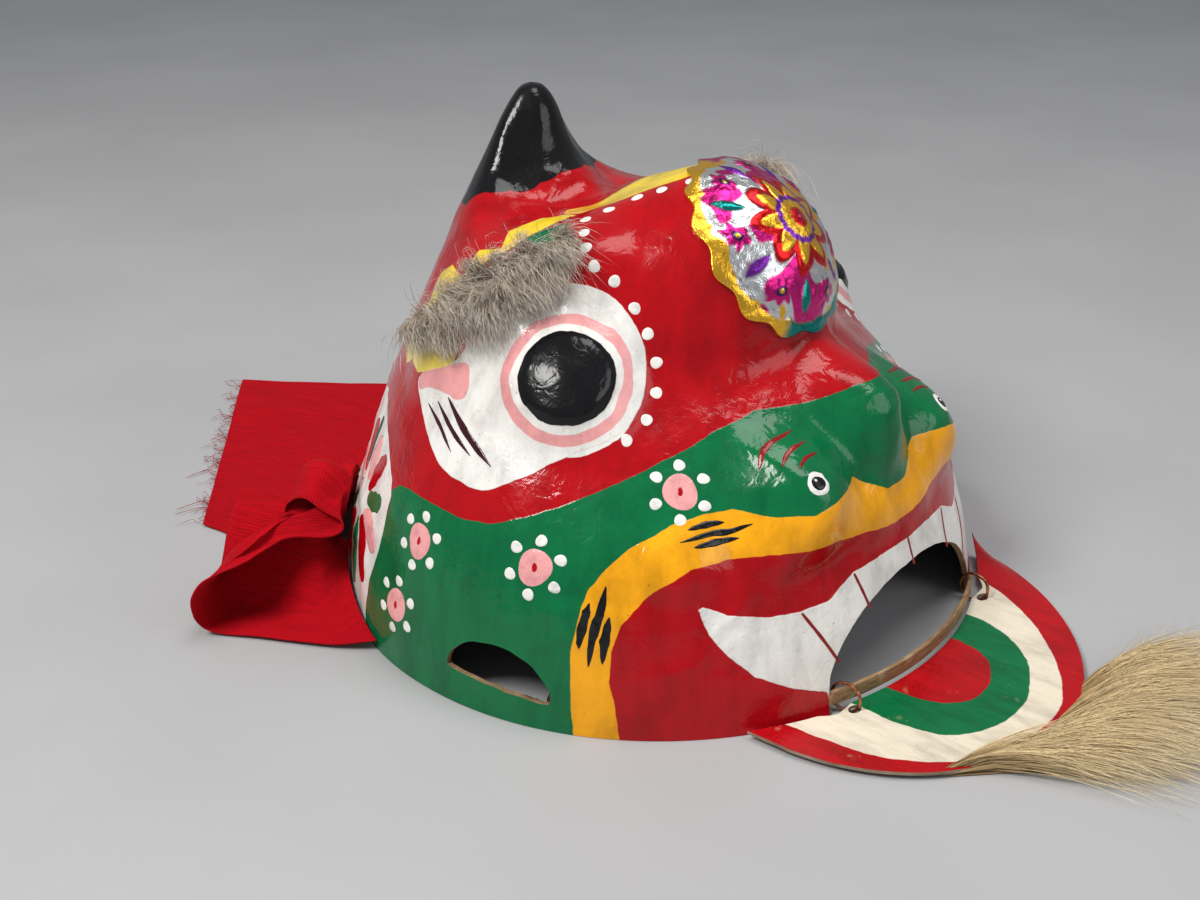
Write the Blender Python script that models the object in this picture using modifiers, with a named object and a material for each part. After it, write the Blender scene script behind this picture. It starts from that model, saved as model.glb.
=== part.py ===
"""Lion dance head: a glossy papier-mache shell with a horn, resting on its rim, with a card jaw flap
on two wire rings, a sisal beard, two fur brows, a foil plaque and a red cotton tail cloth.

Metres, +Z up. The lion faces -Y and its right side is at -X. The work frame has the horn's axis on
the Z axis and the floor at z = 0; at the end the whole is moved so that the origin lies under the
middle of the object's box.
"""

import math

import bmesh
import bpy
import numpy as np
from mathutils import Matrix

# Head shell
HALF_WIDTH = 0.160  # middle plane to the rim at its widest
FRONT_REACH = 0.236  # horn axis to the front of the rim
BACK_REACH = 0.066  # horn axis to the back of the rim
WIDEST_AHEAD = 0.085  # horn axis to the rim's widest place
HEAD_HEIGHT = 0.233  # floor to the horn's tip
WALL = 0.0026  # pasted paper
RIM_ROUND_FRONT = 2.0  # exponent of the rim's outline
RIM_ROUND_BACK = 2.1
SHELL_AROUND = 54  # faces round the head
SHELL_RINGS = 24  # faces from rim to tip
SKIRT = 0.006  # depth cut off level under the rim

# Openings in the shell
ARCH_HALF_WIDTH = 0.0665
ARCH_HEIGHT = 0.0485
ARCH_SPRING = 0.004  # height where the arch's straight feet end
ARCH_SIDES = 24
CHEEK_AHEAD = 0.108  # horn axis to the cheek cut-out's middle
CHEEK_SILL = 0.0145  # floor to its lower edge
CHEEK_LENGTH = 0.052
CHEEK_HEIGHT = 0.0195
CHEEK_SLANT = math.radians(5.0)  # its lower edge falls towards the front
CHEEK_SIDES = 14

# Clearances
SEAT_GAP = 0.0003  # between pieces that touch
PAD_GAP = 0.0008  # under a piece glued to the curved shell
SWING_GAP = 0.0011  # between the flap and what it swings past

# Beard
BEARD_THICK = 0.0016  # at the glued end
BEARD_LOFT = 0.011  # height of the free fibres
BEARD_LENGTH = 0.112
BEARD_GLUED = 0.006  # length under the flap's edge
BEARD_LOCKS = 9
BEARD_LOCK_CUT = 0.14  # share of the length between two locks
BEARD_ROOT = (-0.74, 0.17)  # ends of the glued edge as shares of FLAP_HALF_WIDTH
BEARD_SWEEP = (math.radians(-47.0), math.radians(-20.0))  # lie of its first and last lock

# Mouth strip, rings and jaw flap
STRIP_THICK = 0.0023
STRIP_HEIGHT = 0.0072
STRIP_SILL = 0.0046  # floor to the strip's lower edge
WIRE_DIA = 0.0015
RING_RADIUS = 0.0070  # to the wire's middle
RING_SIDE = 0.0610  # middle plane to each ring
RING_FLOOR_GAP = 0.00035
RING_AHEAD = 0.0016  # strip's outer face to the hinge axis
FLAP_THICK = 0.0015
FLAP_HALF_WIDTH = 0.104
FLAP_REACH = 0.102  # back corners to the front edge
FLAP_EAR_GAP = 0.003  # flap's back corners to the rim beside them
FLAP_ROUND_RIGHT = 2.5  # exponents of the two sides of the outline
FLAP_ROUND_LEFT = 1.6
FLAP_BLUNT = 0.992  # share of the half width where the corners are cut off
FLAP_LIFT = 2 * SEAT_GAP + BEARD_THICK + FLAP_THICK / 2  # the card's mid plane lies over the beard
FLAP_CURL = 0.010  # rise of the left back corner
FLAP_CURL_FROM = 0.55  # share of the half width where the curl begins
HOLE_HALF_WIDTH = 0.0036
HOLE_HALF_DEPTH = 0.0026
HOLE_LAND = 0.0010  # card left behind each hole

# Brow fur and foil
FUR_HEIGHT = 0.017
FUR_GAP = 0.0013  # glue and hide under the hair
FUR_HALF_WIDTH_RINGS = 0.95  # along the shell's rings
FUR_ANGLES = (math.radians(80.0), math.radians(35.0))  # temple end and forehead end
FUR_RINGS = (5.75, 8.75)
FUR_LOCKS = 8
FUR_LOCK_CUT = 0.22  # share of the height between two locks
FUR_LEAST = 0.14  # share of height and width left at the edges
FOIL_THICK = 0.0006
FOIL_GAP = 0.0014
FOIL_HALF_ANGLE = math.radians(17.0)
FOIL_HALF_RINGS = 2.05
FOIL_RING = 8.55  # ring at the plaque's middle
FOIL_SCALLOPS = 14
FOIL_SCALLOP_DEPTH = 0.035  # share of the plaque's half width

# Tail cloth
CLOTH_THICK = 0.0014
CLOTH_REACH = 0.200  # length that the shares of the stations below follow
CLOTH_FLOOR_GAP = 0.0004
CLOTH_WALL_GAP = 0.0030  # least distance of the loose cloth from the shell
CLOTH_CRUMPLE = 0.05  # height of the crumples as a share of CLOTH_REACH
CLOTH_CRUMPLES = 3
CLOTH_CRUMPLE_STATION = 7.5  # station where they are highest
CLOTH_CRUMPLE_SPREAD = 2.2  # stations over which they die away

# Each row is one section through the horn's axis, at an angle from the front.
# Each pair is a ring: its reach as a share of the rim's reach there, its height as a share of
# HEAD_HEIGHT. Columns, from the rim up: rim, sill, mouth, lip, nostril, nose, bridge, brow foot, brow,
# forehead, crown, ridge, dip, horn foot, horn, horn shoulder, tip.
SECTIONS = {
    0: ((1.00, 0), (0.97, 0.107), (0.94, 0.206), (0.90, 0.309), (0.85, 0.421), (0.79, 0.515),
        (0.70, 0.597), (0.69, 0.704), (0.65, 0.807), (0.56, 0.880), (0.45, 0.901), (0.31, 0.858),
        (0.18, 0.798), (0.09, 0.863), (0.050, 0.957), (0.025, 0.991), (0, 1)),
    28: ((1.00, 0), (0.98, 0.107), (0.95, 0.206), (0.91, 0.309), (0.84, 0.399), (0.76, 0.476),
         (0.67, 0.562), (0.62, 0.661), (0.57, 0.755), (0.49, 0.816), (0.40, 0.837), (0.29, 0.807),
         (0.18, 0.785), (0.095, 0.863), (0.053, 0.957), (0.027, 0.991), (0, 1)),
    60: ((1.00, 0), (0.99, 0.107), (0.96, 0.215), (0.91, 0.326), (0.84, 0.425), (0.76, 0.519),
         (0.68, 0.597), (0.59, 0.674), (0.50, 0.730), (0.42, 0.760), (0.34, 0.773), (0.26, 0.785),
         (0.18, 0.807), (0.115, 0.867), (0.064, 0.957), (0.033, 0.991), (0, 1)),
    95: ((1.00, 0), (0.99, 0.107), (0.94, 0.215), (0.86, 0.322), (0.77, 0.421), (0.68, 0.506),
         (0.59, 0.584), (0.51, 0.652), (0.43, 0.712), (0.37, 0.764), (0.31, 0.807), (0.26, 0.837),
         (0.22, 0.867), (0.165, 0.914), (0.095, 0.966), (0.050, 0.991), (0, 1)),
    135: ((1.00, 0), (1.01, 0.107), (0.97, 0.215), (0.89, 0.322), (0.80, 0.416), (0.72, 0.502),
          (0.64, 0.575), (0.56, 0.639), (0.49, 0.700), (0.43, 0.747), (0.37, 0.790), (0.32, 0.828),
          (0.27, 0.863), (0.20, 0.914), (0.12, 0.966), (0.065, 0.991), (0, 1)),
    180: ((1.00, 0), (1.01, 0.107), (0.98, 0.215), (0.92, 0.322), (0.85, 0.416), (0.77, 0.502),
          (0.70, 0.575), (0.62, 0.639), (0.55, 0.700), (0.49, 0.747), (0.43, 0.790), (0.37, 0.828),
          (0.32, 0.863), (0.24, 0.914), (0.15, 0.966), (0.08, 0.991), (0, 1)),
}
TIP_RING = len(SECTIONS[0]) - 1

# Swellings on the shell. Columns: centre as shares of HALF_WIDTH, FRONT_REACH and HEAD_HEIGHT; radii
# and push as shares of HALF_WIDTH. A centre off the middle plane is repeated on the other side.
SWELLINGS = {
    "nose_tip": ((0, -0.814, 0.481), (0.19, 0.44, 0.24), (0, -0.075, 0.063)),
    "nostril": ((0.3125, -0.771, 0.386), (0.21, 0.38, 0.20), (0.025, -0.088, 0.038)),
    "eyeball": ((0.625, -0.436, 0.588), (0.25, 0.28, 0.25), (0.050, -0.044, 0.031)),
    "brow_outer": ((0.62, -0.12, 0.584), (0.20, 0.20, 0.20), (0.034, -0.010, 0.030)),
    "brow_middle": ((0.56, -0.24, 0.687), (0.20, 0.20, 0.20), (0.034, -0.014, 0.030)),
    "brow_inner": ((0.44, -0.35, 0.777), (0.20, 0.20, 0.20), (0.028, -0.020, 0.030)),
    "lip_side": ((0.66, -0.71, 0.309), (0.16, 0.16, 0.13), (0.016, -0.018, 0.004)),
    "lip_corner": ((0.42, -0.83, 0.326), (0.17, 0.16, 0.11), (0.008, -0.022, 0.004)),
    "lip_middle": ((0.12, -0.89, 0.322), (0.18, 0.14, 0.10), (0.002, -0.020, 0.002)),
}

# The cloth's folds, from the edge glued to the shell to the frayed end. Columns: the near selvage's
# and the far selvage's place as shares of CLOTH_REACH.
CLOTH_STATIONS = {
    "leaves the wall": ((-0.822, -0.060, 0.012), (-0.668, 0.180, 0.055)),
    "near side on the floor": ((-0.905, 0.110, 0.010), (-0.712, 0.270, 0.020)),
    "foot of the loop": ((-0.965, 0.210, 0.020), (-0.755, 0.335, 0.030)),
    "side of the loop": ((-1.000, 0.195, 0.115), (-0.760, 0.325, 0.110)),
    "top of the loop": ((-0.935, 0.150, 0.195), (-0.700, 0.265, 0.165)),
    "over the loop": ((-0.825, 0.120, 0.225), (-0.625, 0.215, 0.195)),
    "gather at the wall": ((-0.725, 0.055, 0.240), (-0.370, 0.380, 0.230)),
    "crest of the gather": ((-0.640, 0.160, 0.310), (-0.060, 0.430, 0.260)),
    "fall of the gather": ((-0.605, 0.300, 0.235), (0.250, 0.500, 0.150)),
    "foot of the gather": ((-0.598, 0.375, 0.060), (0.420, 0.700, 0.028)),
    "flat by the head": ((-0.596, 0.460, 0.010), (0.440, 0.850, 0.006)),
    "flat middle": ((-0.603, 0.560, 0.006), (0.300, 1.080, 0.006)),
    "frayed end": ((-0.610, 0.655, 0.006), (0.112, 1.350, 0.006)),
}
# Angles from the front where the glued edge begins and ends, and its two heights.
CLOTH_SEAT_ANGLES = (math.radians(-78.0), math.radians(-104.0))
CLOTH_SEAT_HEIGHTS = (0.006, 0.022)

COLOURS = {
    "head_shell": ((0.62, 0.02, 0.02), 0.22, 0.0),
    "forehead_foil": ((0.80, 0.80, 0.78), 0.25, 0.9),
    "brow_fur": ((0.42, 0.37, 0.33), 0.9, 0.0),
    "mouth_strip": ((0.42, 0.27, 0.12), 0.5, 0.0),
    "wire_ring": ((0.50, 0.24, 0.10), 0.35, 1.0),
    "jaw_flap": ((0.60, 0.04, 0.03), 0.4, 0.0),
    "beard": ((0.72, 0.60, 0.36), 0.8, 0.0),
    "tail_cloth": ((0.62, 0.01, 0.02), 0.85, 0.0),
}


def rim_reach(angle):
    """Distance from the horn's axis to the rim, at angles from the front: two half superellipses."""
    angle = np.abs(np.asarray(angle, float))
    side, back = np.sin(angle), -np.cos(angle)
    low = np.zeros_like(angle)
    high = np.full_like(angle, 2 * (HALF_WIDTH + FRONT_REACH))
    for _ in range(45):
        middle = (low + high) / 2
        y = middle * back + WIDEST_AHEAD
        half = np.where(y < 0, FRONT_REACH - WIDEST_AHEAD, BACK_REACH + WIDEST_AHEAD)
        power = np.where(y < 0, RIM_ROUND_FRONT, RIM_ROUND_BACK)
        inside = (middle * side / HALF_WIDTH) ** power + (np.abs(y) / half) ** power < 1
        low = np.where(inside, middle, low)
        high = np.where(inside, high, middle)
    return (low + high) / 2


def through(points, slopes, share):
    """Cubic Hermite between two neighbouring points, given both slopes."""
    a, b = points
    da, db = slopes
    t = share
    return (
        (2 * t**3 - 3 * t**2 + 1) * a
        + (t**3 - 2 * t**2 + t) * da
        + (3 * t**2 - 2 * t**3) * b
        + (t**3 - t**2) * db
    )


def section_at(angle):
    """The ring pairs of the section at each angle, read smoothly between the table's rows."""
    degrees = np.degrees(np.abs(angle))
    rows = sorted(SECTIONS)
    table = np.array([SECTIONS[row] for row in rows], float).reshape(len(rows), -1)
    # The rows are repeated past 0 and 180 degrees, as the other side mirrors them.
    places = np.array([-rows[2], -rows[1], *rows, 360 - rows[-2], 360 - rows[-3]], float)
    table = np.concatenate([table[[2, 1]], table, table[[-2, -3]]])
    slopes = np.zeros_like(table)
    slopes[1:-1] = (table[2:] - table[:-2]) / (places[2:] - places[:-2])[:, None]
    at = np.clip(np.searchsorted(places, degrees, side="right") - 1, 0, len(places) - 2)
    width = (places[at + 1] - places[at])[:, None]
    share = (degrees - places[at])[:, None] / width
    pair = through((table[at], table[at + 1]), (slopes[at] * width, slopes[at + 1] * width), share)
    return pair.reshape(len(degrees), -1, 2)


def swelling_push(points):
    """How far the named swellings move each point of the shell."""
    scale = np.array([HALF_WIDTH, FRONT_REACH, HEAD_HEIGHT])
    moved = np.zeros_like(points)
    for centre, radii, push in SWELLINGS.values():
        for side in (1, -1) if centre[0] else (1,):
            mirror = np.array([side, 1, 1])
            offset = (points - np.array(centre) * scale * mirror) / (np.array(radii) * HALF_WIDTH)
            near = np.clip(1 - (offset**2).sum(axis=-1), 0, 1) ** 2
            moved += near[..., None] * np.array(push) * HALF_WIDTH * mirror
    return moved


def head_surface(angle, ring):
    """Points of the shell's outer face at angles from the front (minus is -X) and ring numbers."""
    shape = np.broadcast(angle, ring).shape
    angle = np.broadcast_to(angle, shape).ravel()
    ring = np.broadcast_to(ring, shape).ravel()
    pairs = section_at(angle)
    at = np.clip(np.floor(ring).astype(int), 0, TIP_RING - 1)
    count = np.arange(len(ring))

    def pair(shift):
        return pairs[count, np.clip(at + shift, 0, TIP_RING)]

    slope_a = np.where((at == 0)[:, None], pair(1) - pair(0), (pair(1) - pair(-1)) / 2)
    slope_b = (pair(2) - pair(0)) / 2
    both = through((pair(0), pair(1)), (slope_a, slope_b), (ring - at)[:, None])
    reach = both[:, 0] * rim_reach(angle)
    base = np.stack(
        [reach * np.sin(angle), -reach * np.cos(angle), both[:, 1] * HEAD_HEIGHT], axis=-1
    )
    return (base + swelling_push(base)).reshape(shape + (3,))


def head_normal(angle, ring):
    """Outward unit normals of the shell's outer face."""
    step = 1e-3
    across = head_surface(angle + step, ring) - head_surface(angle - step, ring)
    up = head_surface(angle, np.minimum(ring + 0.02, TIP_RING)) - head_surface(
        angle, np.maximum(ring - 0.02, 0)
    )
    normal = np.cross(across, up)
    return normal / np.linalg.norm(normal, axis=-1, keepdims=True)


def facet_surface(angle, ring):
    """Points of the shell's flat-sided outer face, between the corners that head_shell gives it."""
    columns = rim_angles(SHELL_AROUND)[: SHELL_AROUND // 2 + 1]
    side = np.where(angle < 0, -1.0, 1.0)
    turn = np.abs(angle)
    column = np.clip(np.searchsorted(columns, turn) - 1, 0, len(columns) - 2)
    across = ((turn - columns[column]) / (columns[column + 1] - columns[column]))[..., None]
    step = TIP_RING / SHELL_RINGS
    row = np.floor(ring / step)
    up = (ring / step - row)[..., None]
    low_front = head_surface(columns[column], row * step)
    low_back = head_surface(columns[column + 1], row * step)
    high_front = head_surface(columns[column], (row + 1) * step)
    high_back = head_surface(columns[column + 1], (row + 1) * step)
    # The diagonal runs from low_front to high_back.
    below = low_front * (1 - across) + low_back * (across - up) + high_back * up
    above = low_front * (1 - up) + high_front * (up - across) + high_back * across
    points = np.where(across > up, below, above)
    points[..., 0] *= side
    return points


def raised(angle, ring, height):
    """Points at a height over the shell's flat-sided outer face."""
    return facet_surface(angle, ring) + head_normal(angle, ring) * np.asarray(height)[..., None]


def rim_angles(count):
    """Angles that share the rim's length into equal steps, symmetric about the middle plane."""
    fine = np.linspace(0, math.pi, 1501)
    reach = rim_reach(fine)
    x, y = reach * np.sin(fine), -reach * np.cos(fine)
    run = np.concatenate([[0], np.cumsum(np.hypot(np.diff(x), np.diff(y)))])
    half = np.interp(np.linspace(0, 1, count // 2 + 1), run / run[-1], fine)
    return np.concatenate([half, -half[1:-1][::-1]])


def grid_faces(rows, columns, closed=False):
    """Quads of a grid whose points run row by row; closed joins the last column to the first."""
    faces = []
    for row in range(rows - 1):
        for column in range(columns if closed else columns - 1):
            beside = (column + 1) % columns
            faces.append(
                (
                    row * columns + column,
                    row * columns + beside,
                    (row + 1) * columns + beside,
                    (row + 1) * columns + column,
                )
            )
    return faces


def new_object(name, points, faces, collection):
    """A mesh object from points and faces, with its normals turned outward."""
    mesh = bpy.data.meshes.new(name)
    mesh.from_pydata([tuple(map(float, point)) for point in points], [], faces)
    body = bmesh.new()
    body.from_mesh(mesh)
    bmesh.ops.recalc_face_normals(body, faces=body.faces)
    body.to_mesh(mesh)
    body.free()
    mesh.shade_smooth()
    made = bpy.data.objects.new(name, mesh)
    collection.objects.link(made)
    return made


def closed_sheet(name, lower, upper, collection):
    """A closed solid between two grids of points that lie one over the other."""
    rows, columns = lower.shape[:2]
    count = rows * columns
    faces = grid_faces(rows, columns)
    top = [tuple(index + count for index in face) for face in reversed(faces)]
    bottom = [tuple(reversed(face)) for face in faces]
    edge = (
        [column for column in range(columns)]
        + [row * columns + columns - 1 for row in range(1, rows)]
        + [(rows - 1) * columns + column for column in range(columns - 2, -1, -1)]
        + [row * columns for row in range(rows - 2, 0, -1)]
    )
    sides = []
    for here, there in zip(edge, edge[1:] + edge[:1]):
        sides.append((here, there, there + count, here + count))
    points = np.concatenate([lower.reshape(-1, 3), upper.reshape(-1, 3)])
    return new_object(name, points, bottom + top + sides, collection)


def closed_disc(name, lower, upper, collection):
    """A closed solid between two polar grids: row 0 is the single middle point, repeated."""
    rows, columns = lower.shape[:2]
    points, faces = [], []
    for layer, points_here in enumerate((lower, upper)):
        start = len(points)
        points.append(points_here[0, 0])
        points.extend(points_here[1:].reshape(-1, 3))
        for column in range(columns):
            beside = (column + 1) % columns
            faces.append((start, start + 1 + beside, start + 1 + column))
            for row in range(rows - 2):
                base = start + 1 + row * columns
                faces.append(
                    (base + column, base + beside, base + columns + beside, base + columns + column)
                )
        if layer == 0:
            turn = len(faces)
    faces = [tuple(reversed(face)) for face in faces[:turn]] + faces[turn:]
    count = len(points) // 2
    last = 1 + (rows - 2) * columns
    for column in range(columns):
        beside = (column + 1) % columns
        faces.append((last + column, last + beside, last + beside + count, last + column + count))
    return new_object(name, points, faces, collection)


def cut(target, cutter, operation="DIFFERENCE"):
    """Adds an exact Boolean between the target and a cutter."""
    boolean = target.modifiers.new(cutter.name, "BOOLEAN")
    boolean.object = cutter
    boolean.operation = operation
    boolean.solver = "EXACT"


def prism(name, outline, low, high, axis, collection):
    """A closed prism: an outline in the plane across the axis (0 is X, 1 is Y), from low to high."""
    points = []
    for depth in (low, high):
        for across, up in outline:
            points.append((depth, across, up) if axis == 0 else (across, depth, up))
    count = len(outline)
    faces = [tuple(range(count)), tuple(range(2 * count - 1, count - 1, -1))]
    for index in range(count):
        beside = (index + 1) % count
        faces.append((index, index + count, beside + count, beside))
    made = new_object(name, points, faces, collection)
    made.data.shade_flat()
    made.hide_render = True
    made.display_type = "WIRE"
    return made


def arch_outline(inset):
    """The mouth's outline across the middle plane: straight feet under a half ellipse."""
    half = ARCH_HALF_WIDTH - inset
    rise = ARCH_HEIGHT - ARCH_SPRING - inset
    turns = [step * math.pi / ARCH_SIDES for step in range(ARCH_SIDES + 1)]
    arc = [(half * math.cos(turn), ARCH_SPRING + rise * math.sin(turn)) for turn in turns]
    return [(half, -2 * SKIRT), *arc, (-half, -2 * SKIRT)]


def cheek_outline():
    """The cheek cut-out's outline along the head: a half ellipse on a slanting chord."""
    outline = []
    for step in range(CHEEK_SIDES + 1):
        turn = step * math.pi / CHEEK_SIDES
        along = -CHEEK_LENGTH / 2 * math.cos(turn)
        up = CHEEK_HEIGHT * math.sin(turn)
        outline.append(
            (
                -CHEEK_AHEAD + along * math.cos(CHEEK_SLANT) - up * math.sin(CHEEK_SLANT),
                CHEEK_SILL + up * math.cos(CHEEK_SLANT) + along * math.sin(CHEEK_SLANT),
            )
        )
    return outline


def head_shell(parts, cutters):
    """The open surface of the head, thickened inward, cut level at the floor and at its openings."""
    angles = rim_angles(SHELL_AROUND)
    rings = np.linspace(0, TIP_RING, SHELL_RINGS + 1)[:-1]
    grid = head_surface(angles[None, :], rings[:, None])
    skirt = grid[:1].copy()
    skirt[..., 2] = -SKIRT
    rows = np.concatenate([skirt, grid])
    faces = []
    for index, (a, b, c, d) in enumerate(grid_faces(len(rows), SHELL_AROUND, closed=True)):
        # Both sides of the head are split along mirrored diagonals.
        on_left = index % SHELL_AROUND < SHELL_AROUND // 2
        faces.extend([(a, b, c), (a, c, d)] if on_left else [(a, b, d), (b, c, d)])
    tip = rows.shape[0] * SHELL_AROUND
    last = tip - SHELL_AROUND
    for column in range(SHELL_AROUND):
        faces.append((last + column, last + (column + 1) % SHELL_AROUND, tip))
    points = [*rows.reshape(-1, 3), (0, 0, HEAD_HEIGHT)]
    shell = new_object("head_shell", points, faces, parts)
    wall = shell.modifiers.new("wall", "SOLIDIFY")
    wall.thickness = WALL
    wall.offset = -1
    reach = 2 * FRONT_REACH
    floor_box = [(-reach, 0), (reach, 0), (reach, -5 * SKIRT), (-reach, -5 * SKIRT)]
    cut(shell, prism("floor_cut", floor_box, -reach, reach, 0, cutters))
    cut(shell, prism("mouth_cut", arch_outline(0), -reach, -FRONT_REACH / 2, 1, cutters))
    for name, side in (("cheek_cut_right", -1), ("cheek_cut_left", 1)):
        ends = sorted((side * HALF_WIDTH / 2, side * HALF_WIDTH * 3 / 2))
        cut(shell, prism(name, cheek_outline(), *ends, 0, cutters))
    return shell


def rim_y(x):
    """The rim's outer face ahead of its widest place, at distances x from the middle plane."""
    share = 1 - (np.abs(np.asarray(x, float)) / HALF_WIDTH) ** RIM_ROUND_FRONT
    return -WIDEST_AHEAD - (FRONT_REACH - WIDEST_AHEAD) * share ** (1 / RIM_ROUND_FRONT)


def mouth_strip(parts, cutters):
    """The cane hoop of the rim where it bridges the mouth, level with the paper on either side."""
    half = ARCH_HALF_WIDTH + STRIP_THICK  # its ends are cut back to the arch below
    x = np.linspace(-half, half, 33)
    outer = rim_y(x)
    bottom = np.array(
        [np.stack([x, outer + depth, np.full_like(x, STRIP_SILL)], -1) for depth in (STRIP_THICK, 0)]
    )
    upper = bottom + np.array([0, 0, STRIP_HEIGHT])
    strip = closed_sheet("mouth_strip", bottom, upper, parts)
    ends = prism("strip_ends", arch_outline(SEAT_GAP), -2 * FRONT_REACH, -FRONT_REACH / 2, 1, cutters)
    cut(strip, ends, "INTERSECT")
    return strip


def hinge_place():
    """The jaw's hinge axis: its y and z. It runs along X through both rings' middles."""
    y = float(rim_y(RING_SIDE)) - RING_AHEAD
    z = RING_RADIUS + WIRE_DIA / 2 + RING_FLOOR_GAP
    return y, z


def wire_ring(name, side, parts, pivot):
    """A closed ring of wire round the strip and through the flap, standing across the hinge axis."""
    bpy.ops.mesh.primitive_torus_add(
        major_radius=RING_RADIUS, minor_radius=WIRE_DIA / 2, major_segments=20, minor_segments=6
    )
    ring = bpy.context.active_object
    ring.name = name
    ring.data.name = name
    ring.data.transform(Matrix.Rotation(math.pi / 2, 4, "Y"))
    ring.data.shade_smooth()
    for held_by in list(ring.users_collection):
        held_by.objects.unlink(ring)
    parts.objects.link(ring)
    ring.parent = pivot
    ring.location = (side * RING_SIDE, 0, 0)
    return ring


def hole_place():
    """Where the ring's wire passes through the flap: the hole's y."""
    y, z = hinge_place()
    return y - math.sqrt(RING_RADIUS**2 - (z - FLAP_LIFT) ** 2)


def flap_edges(x):
    """The flap's back and front edges at distances x from the middle plane."""
    back = rim_y(x) - SWING_GAP
    ring_edge = hole_place() + HOLE_HALF_DEPTH + HOLE_LAND
    back = np.minimum(back, ring_edge)
    ear_start = RING_SIDE + 2 * HOLE_HALF_WIDTH
    ear = np.clip((np.abs(x) - ear_start) / (2 * HOLE_HALF_WIDTH), 0, 1)
    back = back + ear * np.maximum(rim_y(x) - FLAP_EAR_GAP - back, 0)
    share = np.clip(np.abs(x) / FLAP_HALF_WIDTH, 0, 1)
    power = np.where(x < 0, FLAP_ROUND_RIGHT, FLAP_ROUND_LEFT)
    corner = float(rim_y(FLAP_HALF_WIDTH)) - FLAP_EAR_GAP
    front = corner - FLAP_REACH * (1 - share**power) ** (1 / power)
    return back, front


def flap_rise(x, share):
    """Height of the card's mid plane: flat, with the left back corner curled up."""
    curl = np.clip((x / FLAP_HALF_WIDTH - FLAP_CURL_FROM) / (1 - FLAP_CURL_FROM), 0, 1) ** 2
    return FLAP_LIFT + FLAP_CURL * curl * (1 - share) ** 1.5


def jaw_flap(parts, cutters, pivot):
    """The painted card under the mouth: its back edge follows the strip, with a hole at each ring."""
    turn = np.linspace(-1, 1, 25)
    x = FLAP_HALF_WIDTH * FLAP_BLUNT * np.sin(turn * math.pi / 2)
    share = np.linspace(0, 1, 7)[:, None]
    back, front = flap_edges(x)
    y = back + (front - back) * share
    middle = np.stack([np.broadcast_to(x, y.shape), y, flap_rise(x, share)], axis=-1)
    half = np.array([0, 0, FLAP_THICK / 2])
    origin = np.array([0, *hinge_place()])
    flap = closed_sheet("jaw_flap", middle - half - origin, middle + half - origin, parts)
    flap.parent = pivot
    for name, side in (("hole_right", -1), ("hole_left", 1)):
        body = bmesh.new()
        bmesh.ops.create_cone(
            body, cap_ends=True, segments=14, radius1=1, radius2=1, depth=8 * FLAP_THICK
        )
        mesh = bpy.data.meshes.new(name)
        body.to_mesh(mesh)
        body.free()
        mesh.transform(Matrix.Diagonal((HOLE_HALF_WIDTH, HOLE_HALF_DEPTH, 1, 1)))
        hole = bpy.data.objects.new(name, mesh)
        cutters.objects.link(hole)
        hole.parent = pivot
        hole.location = (side * RING_SIDE, hole_place() - origin[1], FLAP_LIFT - origin[2])
        hole.hide_render = True
        hole.display_type = "WIRE"
        cut(flap, hole)
    return flap


def beard(parts, pivot):
    """Sisal glued under the flap's front edge, swept to the lion's left in locks."""
    across = np.linspace(0, 1, 4 * BEARD_LOCKS + 1)
    # The first row lies under the card and the second just past its edge, both still thin.
    along = np.array([0, 0, 0.09, 0.26, 0.55, 0.82, 1.0])[:, None]
    root_x = FLAP_HALF_WIDTH * (BEARD_ROOT[0] + (BEARD_ROOT[1] - BEARD_ROOT[0]) * across)
    root_y = flap_edges(root_x)[1] - BEARD_GLUED / 3
    root_y = np.broadcast_to(root_y, (len(along), len(across))).copy()
    root_y[0] += BEARD_GLUED * 4 / 3
    sweep = BEARD_SWEEP[0] + (BEARD_SWEEP[1] - BEARD_SWEEP[0]) * across
    lock = np.abs(np.sin(across * math.pi * BEARD_LOCKS))
    length = BEARD_LENGTH * (1 - BEARD_LOCK_CUT * (1 - lock))
    x = root_x + along * length * np.cos(sweep)
    y = root_y + along * length * np.sin(sweep)
    floor = np.full_like(x, SEAT_GAP)
    puff = BEARD_LOFT * np.sin(math.pi * along) ** 0.7
    top = SEAT_GAP + BEARD_THICK * (1 - along / 2) + puff * (1 + lock) / 2
    origin = np.array([0, *hinge_place()])
    lower = np.stack([x, y, floor], axis=-1) - origin
    upper = np.stack([x, y, top], axis=-1) - origin
    tuft = closed_sheet("beard", lower, upper, parts)
    tuft.parent = pivot
    return tuft


def brow_fur(name, side, parts):
    """A strip of fur in locks, glued along the brow ridge from the temple to the forehead."""
    run = np.linspace(0, 1, 21)
    width = np.linspace(-1, 1, 7)[:, None]
    angle = side * (FUR_ANGLES[0] + (FUR_ANGLES[1] - FUR_ANGLES[0]) * run)
    middle = FUR_RINGS[0] + (FUR_RINGS[1] - FUR_RINGS[0]) * run
    taper = np.clip(1 - (2 * run - 1) ** 4, FUR_LEAST**2, 1) ** 0.5
    ring = middle + width * FUR_HALF_WIDTH_RINGS * taper
    between = 1 - np.abs(np.sin(math.pi * FUR_LOCKS * run))
    dome = np.clip(1 - width**2, FUR_LEAST**2, 1) ** 0.5
    height = FUR_HEIGHT * taper * dome * (1 - FUR_LOCK_CUT * between)
    angle = np.broadcast_to(angle, ring.shape)
    lower = raised(angle, ring, np.full_like(ring, FUR_GAP))
    upper = raised(angle, ring, FUR_GAP + height)
    return closed_sheet(name, lower, upper, parts)


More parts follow.
